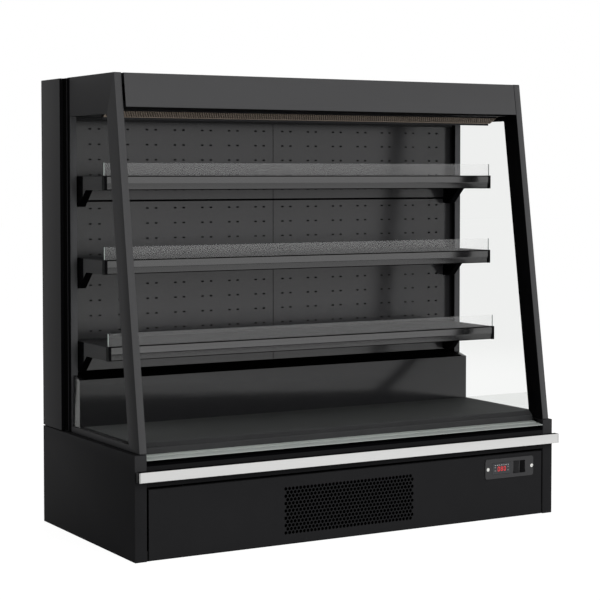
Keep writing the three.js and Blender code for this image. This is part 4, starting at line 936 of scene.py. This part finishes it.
# Painted shade: what lies behind the canopy's face, the end frames' rear stiles, the ledge below
# its nose with the fascia's upper edge, the back of the bumper and the duct behind the wall lie in
# shade and are painted near black. The end frames' inner sides and the wells of the switches are
# black. Lighter are the stiles' reveals, the frames' front edges, the posts, the fronts of the
# bumper's ends and the brackets' outer faces. A face whose normal is over FACING along an axis
# looks that way.
FACING = 0.9
DUCT_LOW, DUCT_HIGH = np.array([-748, 204, 312]) * MM, np.array([748, 366, 1406]) * MM
REVEAL_FRONT, EDGE_BACK, LEDGE_NOSE, CANOPY_BACK = 160 * MM, 100 * MM, 291.5 * MM, -150 * MM
ROOF_EDGE, WELL_LEFT, WELL_RIGHT, WELL_DEPTH = 3 * MM, 585 * MM, 642 * MM, 0.9 * MM
bezel_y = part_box("control_bezel")[0].y
for side, sign in SIDES:
    end = f"side_frame_{side}"
    refinish(end, black_abs_and_painted_shade, lambda c, n: n[:, 0] * sign < -FACING)
    refinish(end, painted_shade_coat, lambda c, n: (n[:, 0] * sign > FACING) & (c[:, 1] > STILE_FRONT))
    refinish(end, reveal_coat, lambda c, n: (n[:, 1] < -FACING) & (c[:, 1] > REVEAL_FRONT))
    refinish(end, canopy_coat, lambda c, n: (n[:, 1] < -FACING) & (c[:, 1] < EDGE_BACK))
    refinish(f"base_side_{side}", frame_coat,
             lambda c, n: (n[:, 1] < -FACING) & (c[:, 2] > POST_FOOT))
    refinish(f"bumper_end_{side}", steel, lambda c, n: n[:, 1] < -FACING)
    for level in LEVELS:
        refinish(f"{level}_bracket_{side}", strip_coat,
                 lambda c, n: (n[:, 0] * sign > FACING) & (c[:, 1] < BRACKET_HEEL))
refinish("canopy_front", black_abs_and_painted_shade, lambda c, n: (c[:, 2] < soffit_high.z - ROOF_EDGE)
         & ((n[:, 1] > -0.5) | (c[:, 1] > CANOPY_BACK)))
refinish("front_ledge", painted_shade_coat, lambda c, n: c[:, 2] < LEDGE_NOSE)
refinish("front_fascia", painted_shade_coat, lambda c, n: c[:, 2] > FASCIA_SHADE)
refinish("bumper_bar", painted_shade_coat, lambda c, n: n[:, 1] > -0.5)
refinish("rear_body", black_abs_and_painted_shade, lambda c, n: ((c > DUCT_LOW) & (c < DUCT_HIGH)).all(1))
refinish("control_bezel", black_abs_and_painted_shade, lambda c, n: (c[:, 1] > bezel_y + WELL_DEPTH)
         & (c[:, 0] > WELL_LEFT) & (c[:, 0] < WELL_RIGHT))
print("eased copies made")

# %% [markdown]
# ## Shade in the joints beside the end frames
# Between each end frame and the rear body runs a deep upright joint. A black strip that takes no
# light at all is put into it, as painted shade for the dark inside the joint.

# %% Shade strips in the joints
JOINT_SHADE_X = np.array([737.6, 739.2]) * MM
rear_low, rear_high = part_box("rear_body")
frame_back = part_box("side_frame_left")[1].y
section = oblong(frame_back + 0.3 * MM, frame_back + 24 * MM, rear_low.z + 5 * MM,
                 rear_high.z - 2 * MM)
for side, sign in SIDES:
    new_piece(f"frame_joint_shade_{side}", *carried(section, *np.sort(sign * JOINT_SHADE_X)),
              joint_shade_black, "black_plastic")
# Two strips of painted shade.
print("2 gaskets")

# %% [markdown]
# ## Louvre flaps
# A louvre is cut and pressed in one stroke, so behind each row of slots in the back a flap leans
# inwards and down. Air passes under it, but nobody can look into the plant.

# %% Louvre flaps
LOUVRE_PITCH, LOUVRE_REACH = 55.25 * MM, 550 * MM
FLAP = np.array([(-0.1, 5.5), (-0.1, 6.9), (-13.1, -6.6), (-13.1, -8.0)]) * MM
back_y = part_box("base_back")[0].y
for row, name in enumerate(("low", "middle", "high"), 1):
    section = FLAP + [back_y, row * LOUVRE_PITCH]
    new_piece(f"louvre_flap_{name}", *carried(section, -LOUVRE_REACH, LOUVRE_REACH), black_coat,
              "body_paint")
print("3 louvre flaps")

# %% [markdown]
# ## The control panel
# Behind a smoked window three red digits show the temperature, with small white marks above
# them. Each digit has seven bars, long hexagons laid on one plate. Two screws hold the bezel.

# %% Display window
face_low, face_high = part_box("controller")
face = face_low.y
# The window is 0.4 mm thick and stands as far inside the controller's edges.
WINDOW, KEY_CLEAR = 0.4 * MM, 0.5 * MM
keys = [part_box(f"key_{k}") for k in (1, 2, 3, 4)]
wells = np.array([(a.x - KEY_CLEAR, b.x + KEY_CLEAR, a.z - KEY_CLEAR, b.z + KEY_CLEAR)
                  for a, b in keys])
xs = lines_of(face_low.x + WINDOW, face_high.x - WINDOW, wells[:, :2].ravel())
zs = lines_of(face_low.z + WINDOW, face_high.z - WINDOW, wells[:, 2:].ravel())
no_holes = np.zeros((0, 4, 2), int)
new_piece("display_window", *pierced_sheet(xs, zs, plain_cells(xs, zs, wells), no_holes, no_holes,
                                           *upright(face - WINDOW, face, zs[0], zs[-1])),
          smoked_window, "black_plastic")

# %% Digits and marks
BARS = {"8": "abcdefg", "0": "abcdef"}


def bar(length, width, upright_bar):
    """One bar of a digit: a hexagon with pointed ends, flat or upright."""
    half, w = length / 2, width / 2
    corners = np.array([(-half, 0), (-half + w, -w), (half - w, -w), (half, 0),
                        (half - w, w), (-half + w, w)])
    return corners[:, ::-1] * [1, -1] if upright_bar else corners


def raised(name, outlines, y0, y1, finish, slot):
    """Flat marks with equal corner counts, each an outline in (x, z), raised from y1 to y0."""
    n, k = outlines.shape[:2]
    flat = outlines.reshape(-1, 2)
    layers = [np.column_stack([flat[:, 0], np.full(len(flat), y), flat[:, 1]]) for y in (y0, y1)]
    front = np.arange(n * k).reshape(n, k)
    after = np.roll(front, -1, axis=1)
    walls = np.stack([front, front + n * k, after + n * k, after], -1).reshape(-1, 4)
    new_piece(name, np.concatenate(layers), [front, front[:, ::-1] + n * k, walls], finish, slot)


WIDE, TALL, THICK, BAR_GAP = 6.0 * MM, 13.0 * MM, 1.15 * MM, 0.6 * MM
PLACES = {"a": (0, 1), "g": (0, 0), "d": (0, -1), "f": (-1, 0.5), "b": (1, 0.5),
          "e": (-1, -0.5), "c": (1, -0.5)}
centre = np.array([(face_low.x + face_high.x) / 2 + 0.6 * MM, 163.0 * MM])
outlines = []
for place_x, digit in zip((-12.0, 0.0, 12.0), "080"):
    for name in BARS[digit]:
        px, pz = PLACES[name]
        stand = name in "bcef"
        shape = bar((TALL / 2 if stand else WIDE) - BAR_GAP, THICK, stand)
        outlines.append(shape + centre + [place_x * MM + px * WIDE / 2, pz * TALL / 2])
raised("temperature_digits", np.array(outlines), face - 0.55 * MM, face - WINDOW,
       red_segment, "opal_plastic")

MARKS, MARK_PITCH, MARK_ABOVE, MARK_RADIUS = 7, 8.6 * MM, 12.2 * MM, 1.3 * MM
marks = centre + np.column_stack([(np.arange(MARKS) - MARKS // 2) * MARK_PITCH,
                                  np.full(MARKS, MARK_ABOVE)])
turn = np.radians(45 + 45 * np.arange(8))
dots = marks[:, None] + MARK_RADIUS * np.column_stack([np.cos(turn), np.sin(turn)])
raised("status_marks", dots, face - 0.5 * MM, face - WINDOW, white_print, "opal_plastic")
print("display with", len(outlines), "bars and", len(marks), "marks")

# %% Bezel screws
def domed(name, x, z, face_y, radius, rise, rings=9, around=32):
    """Screw head: height rise * (1 - (r / radius) ** 2.4), with a cross pressed into it."""
    r = np.linspace(1, 0.06, rings)[:, None] * radius
    a = np.linspace(0, 2 * math.pi, around, endpoint=False)[None]
    h = rise * (1 - (r / radius) ** 2.4) + 0 * a
    px, pz = r * np.cos(a), r * np.sin(a)
    arm = np.minimum(np.abs(px), np.abs(pz)) < 0.16 * radius
    h = h - np.where(arm & (r < 0.62 * radius), 0.55 * rise, 0)
    grid = np.stack([x + px, face_y - h, z + pz], -1).reshape(-1, 3)
    ring = np.arange(rings * around).reshape(rings, around)
    after = np.roll(ring, -1, axis=1)
    quads = np.stack([ring[:-1], after[:-1], after[1:], ring[1:]], -1).reshape(-1, 4)
    new_piece(name, grid, [quads, ring[-1][None], ring[0][None, ::-1]], screw_metal,
              "brushed_steel", crease=50)


SCREW_Z, SCREW_RADIUS, SCREW_RISE, SCREW_SUNK = 163.5 * MM, 5.8 * MM, 1.9 * MM, 0.05 * MM
for side, x in (("left", 489.8), ("right", 664.3)):
    domed(f"bezel_screw_{side}", x * MM, SCREW_Z, bezel_y + SCREW_SUNK, SCREW_RADIUS, SCREW_RISE)
print("2 screws")

# %% [markdown]
# ## What stays as it is
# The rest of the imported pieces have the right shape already, and only take their finish.

# %% Finishes of the kept pieces
KEPT = (
    (black_coat, "base_floor base_back insulated_tub"),
    (strip_plastic, "riser_strip"),
    (opal_plastic, "lamp"),
    (black_abs_and_painted_shade, "controller condenser_fan evaporator_fan_left evaporator_fan_right"),
    (pot_enamel, "compressor"),
    (shade_black_fins, "condenser_coil evaporator_coil"),
    (toughened_glass, "front_glass side_glass_left side_glass_right"),
    (shelf_acrylic, "lower_shelf_glass middle_shelf_glass upper_shelf_glass"),
)
kept = [(node, finish) for finish, nodes in KEPT for node in nodes.split()]
for node, finish in kept:
    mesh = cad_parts[node].data
    mesh.materials.clear()
    mesh.materials.append(finish)
print(len(kept), "kept pieces finished")
